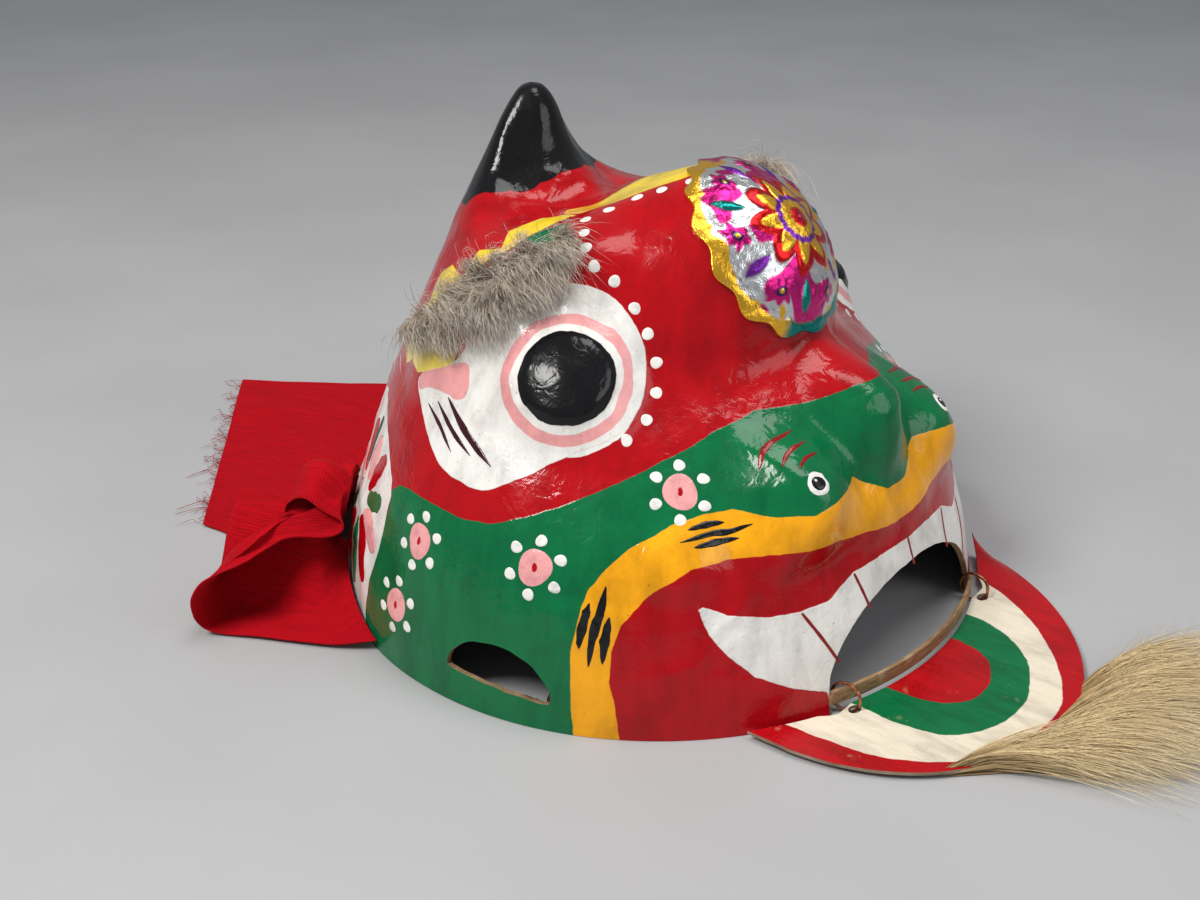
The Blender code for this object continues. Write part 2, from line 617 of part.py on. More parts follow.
def forehead_foil(parts):
    """The thin embossed plaque on the forehead, with a scalloped edge."""
    turn = np.arange(2 * FOIL_SCALLOPS) * math.pi / FOIL_SCALLOPS
    edge = 1 + FOIL_SCALLOP_DEPTH * np.cos(FOIL_SCALLOPS * turn)
    reach = np.linspace(0, 1, 9)[:, None] * edge
    angle = FOIL_HALF_ANGLE * reach * np.sin(turn)
    ring = FOIL_RING + FOIL_HALF_RINGS * reach * np.cos(turn)
    lower = raised(angle, ring, np.full_like(ring, FOIL_GAP))
    upper = raised(angle, ring, np.full_like(ring, FOIL_GAP + FOIL_THICK))
    return closed_disc("forehead_foil", lower, upper, parts)


def cloth_middle(rows, columns):
    """The cloth's mid surface: row 0 is glued to the wall, then it runs through its stations."""
    share = np.linspace(0, 1, columns)
    angle = CLOTH_SEAT_ANGLES[0] + share * (CLOTH_SEAT_ANGLES[1] - CLOTH_SEAT_ANGLES[0])
    height = CLOTH_SEAT_HEIGHTS[0] + share * (CLOTH_SEAT_HEIGHTS[1] - CLOTH_SEAT_HEIGHTS[0])
    ring = height / (SECTIONS[0][1][1] * HEAD_HEIGHT)
    seat = raised(angle, ring, np.full_like(ring, PAD_GAP + CLOTH_THICK / 2))
    stations = [seat]
    for near, far in CLOTH_STATIONS.values():
        near, far = np.array(near) * CLOTH_REACH, np.array(far) * CLOTH_REACH
        stations.append(near + (far - near) * share[:, None])
    stations = np.array(stations)
    slopes = np.zeros_like(stations)
    slopes[1:-1] = (stations[2:] - stations[:-2]) / 2
    slopes[0] = stations[1] - stations[0]
    slopes[-1] = stations[-1] - stations[-2]
    place = np.linspace(0, len(stations) - 1, rows)
    at = np.minimum(place.astype(int), len(stations) - 2)
    pair = (stations[at], stations[at + 1])
    middle = through(pair, (slopes[at], slopes[at + 1]), (place - at)[:, None, None])
    fade = np.exp(-(((place - CLOTH_CRUMPLE_STATION) / CLOTH_CRUMPLE_SPREAD) ** 2))[:, None]
    waves = (1 - np.cos(share * 2 * math.pi * CLOTH_CRUMPLES)) / 2
    middle[..., 2] += CLOTH_CRUMPLE * CLOTH_REACH * fade * waves
    lowest = CLOTH_FLOOR_GAP + CLOTH_THICK / 2
    middle[..., 2] = np.maximum(middle[..., 2], lowest)
    # Past its glued edge the cloth stays clear of the wall it hangs beside.
    reach = np.hypot(middle[..., 0], middle[..., 1])
    turn = np.arctan2(middle[..., 0], -middle[..., 1])
    least = rim_reach(turn) + CLOTH_WALL_GAP + CLOTH_THICK / 2
    push = np.maximum(least / reach, 1)
    push[place < 0.5] = 1
    middle[..., :2] *= push[..., None]
    return middle


def tail_cloth(parts):
    """One sheet of cotton: glued to the back of the rim, looped, gathered, then laid flat."""
    middle = cloth_middle(rows=38, columns=11)
    rows, columns = middle.shape[:2]
    faces = grid_faces(rows, columns)
    sheet = new_object("tail_cloth", middle.reshape(-1, 3), faces, parts)
    wall = sheet.modifiers.new("wall", "SOLIDIFY")
    wall.thickness = CLOTH_THICK
    wall.offset = 0
    return sheet


def material(name):
    """A Principled material with the sub-part's colour, roughness and metallic value."""
    colour, roughness, metallic = COLOURS[name]
    made = bpy.data.materials.new(name)
    made.use_nodes = True
    shader = made.node_tree.nodes["Principled BSDF"]
    shader.inputs["Base Color"].default_value = (*colour, 1)
    shader.inputs["Roughness"].default_value = roughness
    shader.inputs["Metallic"].default_value = metallic
    made.diffuse_color = (*colour, 1)
    return made


def centre_on_floor(root, pieces):
    """Moves the whole so that the origin lies under the middle of its box."""
    bpy.context.view_layer.update()
    graph = bpy.context.evaluated_depsgraph_get()
    corners = []
    for piece in pieces:
        whole = piece.evaluated_get(graph)
        corners.extend(whole.matrix_world @ vertex.co for vertex in whole.data.vertices)
    points = np.array(corners)
    low, high = points.min(axis=0), points.max(axis=0)
    root.location = (-(low[0] + high[0]) / 2, -(low[1] + high[1]) / 2, -low[2])


def main():
    for old in list(bpy.data.objects):
        bpy.data.objects.remove(old, do_unlink=True)
    parts = bpy.data.collections.new("lion_dance_head")
    cutters = bpy.data.collections.new("cutters")
    for made in (parts, cutters):
        bpy.context.scene.collection.children.link(made)

    root = bpy.data.objects.new("floor_centre", None)
    pivot = bpy.data.objects.new("jaw_hinge", None)
    for empty in (root, pivot):
        parts.objects.link(empty)
    pivot.parent = root
    pivot.location = (0, *hinge_place())

    on_head = [
        head_shell(parts, cutters),
        forehead_foil(parts),
        brow_fur("brow_fur_right", -1, parts),
        brow_fur("brow_fur_left", 1, parts),
        mouth_strip(parts, cutters),
        tail_cloth(parts),
    ]
    on_jaw = [
        jaw_flap(parts, cutters, pivot),
        beard(parts, pivot),
        wire_ring("wire_ring_right", -1, parts, pivot),
        wire_ring("wire_ring_left", 1, parts, pivot),
    ]
    for piece in on_head:
        piece.parent = root
    for cutter in cutters.objects:
        if cutter.parent is None:
            cutter.parent = root
    for piece in on_head + on_jaw:
        finish = next(name for name in COLOURS if piece.name.startswith(name))
        piece.data.materials.append(material(finish))
    centre_on_floor(root, on_head + on_jaw)


main()
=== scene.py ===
"""Dresses the lion dance head: a lacquered and painted paper shell, an embossed foil plaque, fur
brows, a cane hoop with two copper rings, a painted card jaw, a sisal beard and a cotton tail cloth.

Metres, +Z up. Shapes on the head are placed in its chart: the angle from the front (minus is the
lion's right) and the ring number from rim (0) to horn tip.
"""

import logging
import math
from dataclasses import dataclass, field
from enum import Enum
from itertools import product

import bpy
import numpy as np
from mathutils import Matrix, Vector


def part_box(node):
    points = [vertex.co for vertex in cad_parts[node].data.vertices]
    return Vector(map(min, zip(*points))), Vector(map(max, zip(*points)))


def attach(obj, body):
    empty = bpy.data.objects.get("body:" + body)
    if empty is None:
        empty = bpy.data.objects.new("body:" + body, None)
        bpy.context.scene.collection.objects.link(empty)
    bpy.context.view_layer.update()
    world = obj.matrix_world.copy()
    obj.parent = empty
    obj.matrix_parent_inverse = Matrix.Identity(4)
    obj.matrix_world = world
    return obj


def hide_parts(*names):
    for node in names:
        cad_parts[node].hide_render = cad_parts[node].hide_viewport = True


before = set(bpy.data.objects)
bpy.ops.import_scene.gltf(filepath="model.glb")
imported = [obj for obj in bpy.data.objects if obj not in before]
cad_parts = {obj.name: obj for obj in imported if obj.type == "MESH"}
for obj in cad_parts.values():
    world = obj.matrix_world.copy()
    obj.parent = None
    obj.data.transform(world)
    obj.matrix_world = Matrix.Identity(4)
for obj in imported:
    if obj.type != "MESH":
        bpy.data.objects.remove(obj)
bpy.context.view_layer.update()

log = logging.getLogger("lion_head")

# Sizes shared with the solids
HALF_WIDTH = 0.160
FRONT_REACH = 0.236
BACK_REACH = 0.066
WIDEST_AHEAD = 0.085
HEAD_HEIGHT = 0.233
WALL = 0.0026
LAST_RING_SHARE = 0.85  # how far along a strand the ring before its tip counts as
RIM_ROUND = (2.0, 2.1)  # exponents of the rim's front and back
CLOTH_REACH = 0.200

# One row for each section angle; pairs of reach share and height share from rim to tip
SECTIONS = {
    0: ((1.00, 0), (0.97, 0.107), (0.94, 0.206), (0.90, 0.309), (0.85, 0.421), (0.79, 0.515),
        (0.70, 0.597), (0.69, 0.704), (0.65, 0.807), (0.56, 0.880), (0.45, 0.901), (0.31, 0.858),
        (0.18, 0.798), (0.09, 0.863), (0.050, 0.957), (0.025, 0.991), (0, 1)),
    28: ((1.00, 0), (0.98, 0.107), (0.95, 0.206), (0.91, 0.309), (0.84, 0.399), (0.76, 0.476),
         (0.67, 0.562), (0.62, 0.661), (0.57, 0.755), (0.49, 0.816), (0.40, 0.837), (0.29, 0.807),
         (0.18, 0.785), (0.095, 0.863), (0.053, 0.957), (0.027, 0.991), (0, 1)),
    60: ((1.00, 0), (0.99, 0.107), (0.96, 0.215), (0.91, 0.326), (0.84, 0.425), (0.76, 0.519),
         (0.68, 0.597), (0.59, 0.674), (0.50, 0.730), (0.42, 0.760), (0.34, 0.773), (0.26, 0.785),
         (0.18, 0.807), (0.115, 0.867), (0.064, 0.957), (0.033, 0.991), (0, 1)),
    95: ((1.00, 0), (0.99, 0.107), (0.94, 0.215), (0.86, 0.322), (0.77, 0.421), (0.68, 0.506),
         (0.59, 0.584), (0.51, 0.652), (0.43, 0.712), (0.37, 0.764), (0.31, 0.807), (0.26, 0.837),
         (0.22, 0.867), (0.165, 0.914), (0.095, 0.966), (0.050, 0.991), (0, 1)),
    135: ((1.00, 0), (1.01, 0.107), (0.97, 0.215), (0.89, 0.322), (0.80, 0.416), (0.72, 0.502),
          (0.64, 0.575), (0.56, 0.639), (0.49, 0.700), (0.43, 0.747), (0.37, 0.790), (0.32, 0.828),
          (0.27, 0.863), (0.20, 0.914), (0.12, 0.966), (0.065, 0.991), (0, 1)),
    180: ((1.00, 0), (1.01, 0.107), (0.98, 0.215), (0.92, 0.322), (0.85, 0.416), (0.77, 0.502),
          (0.70, 0.575), (0.62, 0.639), (0.55, 0.700), (0.49, 0.747), (0.43, 0.790), (0.37, 0.828),
          (0.32, 0.863), (0.24, 0.914), (0.15, 0.966), (0.08, 0.991), (0, 1)),
}
TIP_RING = len(SECTIONS[0]) - 1

# Centre, radii and push of each swelling as shares of the head's sizes
SWELLINGS = {
    "nose_tip": ((0, -0.814, 0.481), (0.19, 0.44, 0.24), (0, -0.075, 0.063)),
    "nostril": ((0.3125, -0.771, 0.386), (0.21, 0.38, 0.20), (0.025, -0.088, 0.038)),
    "eyeball": ((0.625, -0.436, 0.588), (0.25, 0.28, 0.25), (0.050, -0.044, 0.031)),
    "brow_outer": ((0.62, -0.12, 0.584), (0.20, 0.20, 0.20), (0.034, -0.010, 0.030)),
    "brow_middle": ((0.56, -0.24, 0.687), (0.20, 0.20, 0.20), (0.034, -0.014, 0.030)),
    "brow_inner": ((0.44, -0.35, 0.777), (0.20, 0.20, 0.20), (0.028, -0.020, 0.030)),
    "lip_side": ((0.66, -0.71, 0.309), (0.16, 0.16, 0.13), (0.016, -0.018, 0.004)),
    "lip_corner": ((0.42, -0.83, 0.326), (0.17, 0.16, 0.11), (0.008, -0.022, 0.004)),
    "lip_middle": ((0.12, -0.89, 0.322), (0.18, 0.14, 0.10), (0.002, -0.020, 0.002)),
}

# Near and far selvage of each fold of the cloth, as shares of CLOTH_REACH
CLOTH_STATIONS = {
    "leaves the wall": ((-0.822, -0.060, 0.012), (-0.668, 0.180, 0.055)),
    "near side on the floor": ((-0.905, 0.110, 0.010), (-0.712, 0.270, 0.020)),
    "foot of the loop": ((-0.965, 0.210, 0.020), (-0.755, 0.335, 0.030)),
    "side of the loop": ((-1.000, 0.195, 0.115), (-0.760, 0.325, 0.110)),
    "top of the loop": ((-0.935, 0.150, 0.195), (-0.700, 0.265, 0.165)),
    "over the loop": ((-0.825, 0.120, 0.225), (-0.625, 0.215, 0.195)),
    "gather at the wall": ((-0.690, 0.030, 0.235), (-0.230, 0.350, 0.130)),
    "crest of the gather": ((-0.715, 0.100, 0.285), (-0.210, 0.400, 0.130)),
    "fall of the gather": ((-0.705, 0.190, 0.215), (0.000, 0.500, 0.070)),
    "foot of the gather": ((-0.665, 0.290, 0.060), (0.300, 0.620, 0.015)),
    "flat by the head": ((-0.625, 0.400, 0.010), (0.440, 0.830, 0.006)),
    "flat middle": ((-0.603, 0.560, 0.006), (0.300, 1.080, 0.006)),
    "frayed end": ((-0.610, 0.655, 0.006), (0.112, 1.350, 0.006)),
}
CLOTH_SEAT_ANGLES = (math.radians(-78.0), math.radians(-104.0))
CLOTH_SEAT_HEIGHTS = (0.006, 0.022)


class Paint(Enum):
    """Hand-mixed paints, in linear colour."""

    RED = (0.43, 0.0020, 0.0060)
    GREEN = (0.002, 0.150, 0.048)
    LIP_YELLOW = (0.93, 0.40, 0.008)
    LEMON = (0.87, 0.62, 0.03)
    # Yellow paint made paler by a painted reflection, for the glossy lower brow
    YELLOW_WITH_SHEEN = (0.86, 0.68, 0.12)
    PINK = (0.84, 0.37, 0.37)
    WHITE = (0.84, 0.82, 0.78)
    BLACK = (0.006, 0.006, 0.007)
    MAROON = (0.045, 0.008, 0.010)
    DARK_RED = (0.24, 0.010, 0.009)
    DARK_GREEN = (0.003, 0.06, 0.03)
    CREAM = (0.78, 0.70, 0.56)


# Painted areas, in the order of the brush; outlines in degrees from the front and ring numbers
PAINTED_AREAS = {
    "cheek": (Paint.GREEN, (
        (-78.4, 2.95), (-75.4, 3.18), (-72.2, 3.23), (-66.7, 3.24), (-60.7, 3.22), (-55.7, 3.32),
        (-51.2, 3.56), (-45.7, 3.90), (-40.0, 4.27), (-32.0, 4.80), (-23.4, 5.22), (-15.8, 5.39),
        (-9.8, 5.25), (-6.5, 5.17), (-1.4, 5.06), (6, 5.0), (6, -1), (-84.5, -1), (-83.9, 0.39),
        (-81.6, 1.20), (-79.4, 1.89), (-77.7, 2.88))),
    "lip": (Paint.LIP_YELLOW, (
        (-45.1, -1), (-45.8, 0.60), (-45.7, 1.53), (-44.2, 2.31), (-43.3, 2.59), (-41.2, 2.94),
        (-37.9, 3.33), (-32.3, 3.72), (-27.8, 3.86), (-24.3, 3.89), (-22.3, 3.75), (-21.3, 3.68),
        (-19.0, 3.63), (-16.8, 3.57), (-14.8, 3.62), (-10.5, 3.74), (-7.4, 3.82), (-4.8, 3.58),
        (-2, 3.38), (6, 3.35), (6, -1))),
    "under_lip": (Paint.RED, (
        (-39.8, -1), (-40.8, 0.58), (-41.4, 1.06), (-41.0, 1.60), (-39.8, 2.06), (-37.0, 2.49),
        (-36.0, 2.63), (-31.2, 3.03), (-26.8, 3.10), (-22.0, 3.10), (-17.0, 3.04), (-12.3, 2.99),
        (-7.3, 2.95), (-2.1, 2.82), (6, 2.80), (6, -1))),
    "teeth": (Paint.WHITE, (
        (-31.1, 2.41), (-27.6, 2.19), (-23.0, 2.04), (-18.8, 2.01), (-14.9, 2.05), (-12.4, 2.24),
        (-10.9, 2.36), (-5.2, 2.43), (6, 2.42), (6, -1), (-16, -1), (-16.7, 0.43), (-21.0, 0.67),
        (-25.2, 1.01), (-28.1, 1.46), (-30.0, 1.88))),
    "horn": (Paint.BLACK, (
        (-94.4, 9.30), (-82, 10.6), (-67.6, 11.80), (-42, 12.5), (-18.6, 12.69), (8, 12.65),
        (8, 18), (-190, 18), (-190, 9.4), (-135, 9.1))),
    "forehead_stripe": (Paint.LEMON, (
        (-37.2, 10.35), (-34.6, 10.06), (-28.6, 10.21), (-16.1, 10.14), (-5.7, 9.9), (6, 9.9),
        (6, 11.15), (-15, 11.15), (-28, 11.2), (-35, 11.0), (-37.4, 10.7))),
    "brow_flame": (Paint.LEMON, (
        (-35.9, 9.96), (-37.5, 10.36), (-45.1, 10.51), (-50.5, 10.22), (-58.6, 9.71),
        (-59.6, 8.75), (-68.4, 8.42), (-71.2, 7.45), (-80.4, 7.60), (-89.4, 7.15), (-90.3, 6.14),
        (-88.6, 5.91), (-74.5, 6.64), (-65.5, 7.82), (-57.6, 8.58), (-51.0, 9.36), (-43.9, 9.78),
        (-37.9, 10.0))),
    "brow_green": (Paint.GREEN, (
        (-53.7, 9.01), (-50.6, 9.36), (-47.2, 9.61), (-39.3, 9.65), (-41.3, 8.58), (-47.4, 8.68))),
    "brow_pink": (Paint.PINK, (
        (-59.2, 7.89), (-57.8, 8.38), (-53.6, 8.91), (-49.1, 8.99), (-49.3, 8.76), (-54.3, 7.98),
        (-56.9, 7.61))),
    # The lower brow: yellow paint lightened as a painted reflection of its glossy face, which turns
    # another way
    "brow_pale": (Paint.YELLOW_WITH_SHEEN, (
        (-96.7, 5.93), (-88.7, 5.93), (-74.0, 6.60), (-68.8, 6.93), (-66.4, 6.83), (-66.0, 5.68),
        (-68.3, 5.49), (-71.2, 5.32), (-76.9, 5.10), (-83, 5.22), (-88.9, 4.98), (-95.9, 5.15))),
    "eye_white": (Paint.WHITE, (
        (-75.6, 4.83), (-69.4, 4.16), (-65.5, 3.87), (-61.3, 3.79), (-57.6, 3.79), (-53.5, 4.05),
        (-50.2, 4.28), (-47.4, 4.52), (-43.1, 4.85), (-38.9, 5.10), (-34.6, 5.46), (-31.2, 5.99),
        (-30.0, 6.78), (-33.6, 7.56), (-40.6, 7.78), (-48.4, 7.54), (-56.3, 7.10), (-62.4, 6.32),
        (-67.3, 5.62), (-75.2, 5.14))),
    "eye_corner": (Paint.PINK, (
        (-75.4, 4.86), (-75.2, 5.14), (-70, 5.44), (-63.2, 5.83), (-62.1, 5.30), (-64.1, 5.07),
        (-67.0, 5.08), (-71.7, 5.03))),
    "back_panel": (Paint.WHITE, (
        (-98.6, 4.1), (-93.6, 3.95), (-85.6, 3.66), (-79.1, 3.14), (-77.9, 2.88), (-79.4, 1.89),
        (-81.6, 1.20), (-83.9, 0.39), (-84.5, -1), (-122, -1), (-124, 1.2), (-119, 2.9),
        (-108, 3.9))),
}
ROUND_AREAS = ("eye_white", "eye_corner", "brow_pink")  # drawn as smooth loops
# Rings round the pupil, from the outside in, by their radius
EYE_RINGS = ((Paint.WHITE, 0.0345), (Paint.PINK, 0.0300), (Paint.WHITE, 0.0248),
             (Paint.BLACK, 0.0213))
EYE_CENTRE = (-44.1, 6.11)

# Brush strokes: paint, width in the middle in metres, taper share at the ends, then the line
STROKES = {
    "eye_stroke_low": (Paint.MAROON, 0.0024, 0.08, ((-71.7, 4.75), (-67.5, 4.50), (-64.1, 4.19))),
    "eye_stroke_mid": (Paint.MAROON, 0.0028, 0.08, ((-69.1, 4.88), (-64.5, 4.54), (-60.2, 4.26))),
    "eye_stroke_top": (Paint.MAROON, 0.0040, 0.08, ((-66.6, 5.04), (-61.0, 4.57), (-56.4, 4.21))),
    "nostril_outer": (Paint.DARK_RED, 0.0036, 0.10,
                      ((-20.4, 4.47), (-18.9, 4.72), (-16.9, 4.85), (-13.1, 4.92))),
    "nostril_middle": (Paint.DARK_RED, 0.0028, 0.10, ((-18.1, 4.42), (-16.0, 4.62), (-12.6, 4.69))),
    "nostril_inner": (Paint.DARK_RED, 0.0022, 0.10, ((-16.5, 4.32), (-14.5, 4.45), (-12.2, 4.46))),
    "tooth_line_outer": (Paint.DARK_RED, 0.0019, 0.7,
                         ((-18.7, 1.98), (-16.9, 1.48), (-14.8, 0.88))),
    "tooth_line_inner": (Paint.DARK_RED, 0.0018, 0.7, ((-10.6, 2.34), (-9.9, 2.02), (-9.2, 1.62))),
    "tiger_top_first": (Paint.BLACK, 0.0036, 0.08, ((-30.6, 3.63), (-28.1, 3.69), (-25.8, 3.70))),
    "tiger_top_second": (Paint.BLACK, 0.0034, 0.08,
                         ((-31.9, 3.45), (-28.0, 3.54), (-25.4, 3.54), (-22.8, 3.61))),
    "tiger_top_third": (Paint.BLACK, 0.0036, 0.08, ((-30.4, 3.36), (-27.6, 3.40), (-24.6, 3.42))),
    "tiger_low_first": (Paint.BLACK, 0.0048, 0.10,
                        ((-43.2, 2.40), (-43.8, 2.16), (-44.4, 1.86), (-44.7, 1.62))),
    "tiger_low_second": (Paint.BLACK, 0.0048, 0.10,
                         ((-41.2, 2.68), (-42.0, 2.27), (-43.0, 1.86), (-43.7, 1.31))),
    "tiger_low_third": (Paint.BLACK, 0.0048, 0.10, ((-41.0, 2.20), (-41.6, 1.83), (-42.1, 1.38))),
    "brow_line": (Paint.BLACK, 0.0013, 0.3,
                  ((-90.6, 5.86), (-74.5, 6.64), (-65.5, 7.78), (-57.6, 8.54), (-51.0, 9.30),
                   (-43.9, 9.74), (-37.4, 9.95))),
    "brow_peach_line": (Paint.PINK, 0.0010, 0.5,
                        ((-90.4, 6.10), (-74.8, 6.86), (-66.2, 8.00), (-58.2, 8.78),
                         (-51.6, 9.56))),
    "back_petal_red_high": (Paint.RED, 0.0122, 0.25, ((-83.3, 3.32), (-86.5, 2.95), (-89.8, 2.52))),
    "back_petal_green_mid": (Paint.GREEN, 0.0109, 0.35,
                             ((-81.6, 2.60), (-84.2, 2.50), (-88.6, 2.42))),
    "back_petal_pink_low": (Paint.PINK, 0.0126, 0.25,
                            ((-87.9, 2.21), (-84.5, 2.05), (-81.1, 1.78))),
    "back_petal_red_low": (Paint.RED, 0.0130, 0.25, ((-88.9, 2.08), (-86.6, 1.60), (-84.4, 1.05))),
    "back_petal_green_low": (Paint.GREEN, 0.0122, 0.25,
                             ((-91.4, 1.93), (-91.8, 1.3), (-92.0, 0.62))),
    "back_petal_pink_high": (Paint.PINK, 0.0118, 0.25,
                             ((-88.6, 3.50), (-90.1, 3.10), (-91.4, 2.62))),
    "back_petal_green_high": (Paint.DARK_GREEN, 0.0063, 0.25,
                              ((-93.6, 3.70), (-94.6, 3.3), (-95.0, 2.8))),
    "back_petal_red_far": (Paint.RED, 0.0118, 0.25, ((-98.5, 3.50), (-97.4, 3.05), (-95.9, 2.6))),
    "back_petal_pink_far": (Paint.PINK, 0.0118, 0.25,
                            ((-104.5, 2.80), (-101.0, 2.65), (-97.0, 2.4))),
    "back_petal_green_far": (Paint.GREEN, 0.0118, 0.25,
                             ((-103.5, 1.60), (-100.5, 1.85), (-96.8, 2.15))),
    "back_petal_red_foot": (Paint.RED, 0.0118, 0.25, ((-98.5, 0.75), (-97.0, 1.3), (-95.0, 1.95))),
}
MIDLINE_STROKES = {
    "tooth_line_middle": (Paint.DARK_RED, 0.0016, 0.7, ((0.0, 2.46), (0.0, 2.2), (0.0, 1.92))),
}
# White dots round the brow and eye, and the six-dotted flowers of the cheek
BROW_DOTS = (
    (-9.7, 9.78), (-15.5, 9.90), (-20.6, 9.98), (-28.2, 9.86), (-34.8, 9.58), (-36.6, 9.02),
    (-37.2, 8.56), (-36.4, 8.14), (-33.2, 7.88), (-30.5, 7.40), (-29.0, 6.95), (-28.3, 6.46),
    (-29.3, 5.96), (-32.0, 5.52), (-35.8, 5.16),
)
DOT_RADIUS = 0.0030
FLOWERS = ((-30.2, 4.27), (-49.8, 2.81), (-68.6, 2.55), (-73.0, 1.25))
FLOWER_RADIUS = 0.0088
FLOWER_DOT_REACH = 0.0118
FLOWER_DOTS = 6
NOSTRIL_EYES = ((-15.2, 4.02),)

NOISE_TABLE = 4096  # random values; a power of two, so that its last bits mask a key
NOISE_PRIMES = (73856093, 19349663, 83492791)


def value_noise(points: np.ndarray, size: float, seed: int) -> np.ndarray:
    """Smooth noise from -1 to 1: random values at lattice corners, blended with smooth steps.

    Args:
        points: places, with three coordinates in the last axis.
        size: the lattice's spacing in metres.
        seed: picks the table of random values.

    Returns:
        One value for each place.
    """
    table = np.random.default_rng(seed).uniform(-1, 1, NOISE_TABLE)
    place = np.asarray(points, float) / size
    cell = np.floor(place).astype(np.int64)
    share = place - cell
    share = share * share * (3 - 2 * share)
    total = np.zeros(place.shape[:-1])
    for corner in product((0, 1), repeat=3):
        corner = np.array(corner)
        key = (cell + corner) @ np.array(NOISE_PRIMES)
        weight = np.where(corner == 1, share, 1 - share).prod(axis=-1)
        total += weight * table[(key ^ (key >> 13)) & (NOISE_TABLE - 1)]
    return total


@dataclass(frozen=True)
class Ripple:
    """Smooth noise of one spacing and height, in metres, with its own seed."""

    size: float
    height: float
    seed: int

    def at(self, points: np.ndarray) -> np.ndarray:
        """The ripple's height at places."""
        return value_noise(points, self.size, self.seed) * self.height


def smooth_step(low: float, high: float, value: np.ndarray) -> np.ndarray:
    """0 below low, 1 above high and a smooth S between."""
    share = np.clip((np.asarray(value, float) - low) / (high - low), 0, 1)
    return share * share * (3 - 2 * share)


def through(a: np.ndarray, b: np.ndarray, da: np.ndarray, db: np.ndarray,
            t: np.ndarray) -> np.ndarray:
    """Cubic Hermite from a to b with slopes da and db, at the share t."""
    return (
        (2 * t**3 - 3 * t**2 + 1) * a
        + (t**3 - 2 * t**2 + t) * da
        + (3 * t**2 - 2 * t**3) * b
        + (t**3 - t**2) * db
    )


def unit(vectors: np.ndarray) -> np.ndarray:
    """The vectors at length one."""
    return vectors / np.maximum(np.linalg.norm(vectors, axis=-1, keepdims=True), 1e-12)


def along_line(points: np.ndarray, count: int) -> np.ndarray:
    """A smooth curve through the points, resampled to count places by a Catmull-Rom spline."""
    points = np.asarray(points, float)
    slopes = np.gradient(points, axis=0)
    place = np.linspace(0, len(points) - 1, count)
    at = np.minimum(place.astype(int), len(points) - 2)
    share = (place - at).reshape((-1,) + (1,) * (points.ndim - 1))
    return through(points[at], points[at + 1], slopes[at], slopes[at + 1], share)


def inside_distance(x: np.ndarray, y: np.ndarray, outline: np.ndarray) -> np.ndarray:
    """Signed distance to a closed outline, positive inside.

    Args:
        x, y: places.
        outline: corners (..., count, 2), in the places' own units.

    Returns:
        The distance to the nearest side, its sign from the crossings to the right.
    """
    least = np.full(x.shape, np.inf)
    crossings = np.zeros(x.shape, bool)
    count = outline.shape[-2]
    for index in range(count):
        ax, ay = outline[..., index, 0], outline[..., index, 1]
        bx, by = outline[..., (index + 1) % count, 0], outline[..., (index + 1) % count, 1]
        dx, dy = bx - ax, by - ay
        run = (x - ax) * dx + (y - ay) * dy
        share = np.clip(run / np.maximum(dx * dx + dy * dy, 1e-18), 0, 1)
        least = np.minimum(least, np.hypot(x - ax - share * dx, y - ay - share * dy))
        spans = (ay > y) != (by > y)
        rise = np.where(np.abs(dy) < 1e-18, 1e-18, dy)
        crossings ^= spans & (x < ax + (y - ay) * dx / rise)
    return np.where(crossings, least, -least)


def grid_quads(rows: int, columns: int, closed: bool = False, start: int = 0) -> np.ndarray:
    """Corner indices (count, 4) of a grid whose points run row by row."""
    here = np.arange(columns if closed else columns - 1)
    beside = (here + 1) % columns
    low = start + np.arange(rows - 1)[:, None] * columns
    quads = np.stack([low + here, low + beside, low + columns + beside, low + columns + here], -1)
    return quads.reshape(-1, 4)


def split(quads: np.ndarray) -> np.ndarray:
    """Two triangles for each quad."""
    return np.concatenate([quads[:, [0, 1, 2]], quads[:, [0, 2, 3]]])


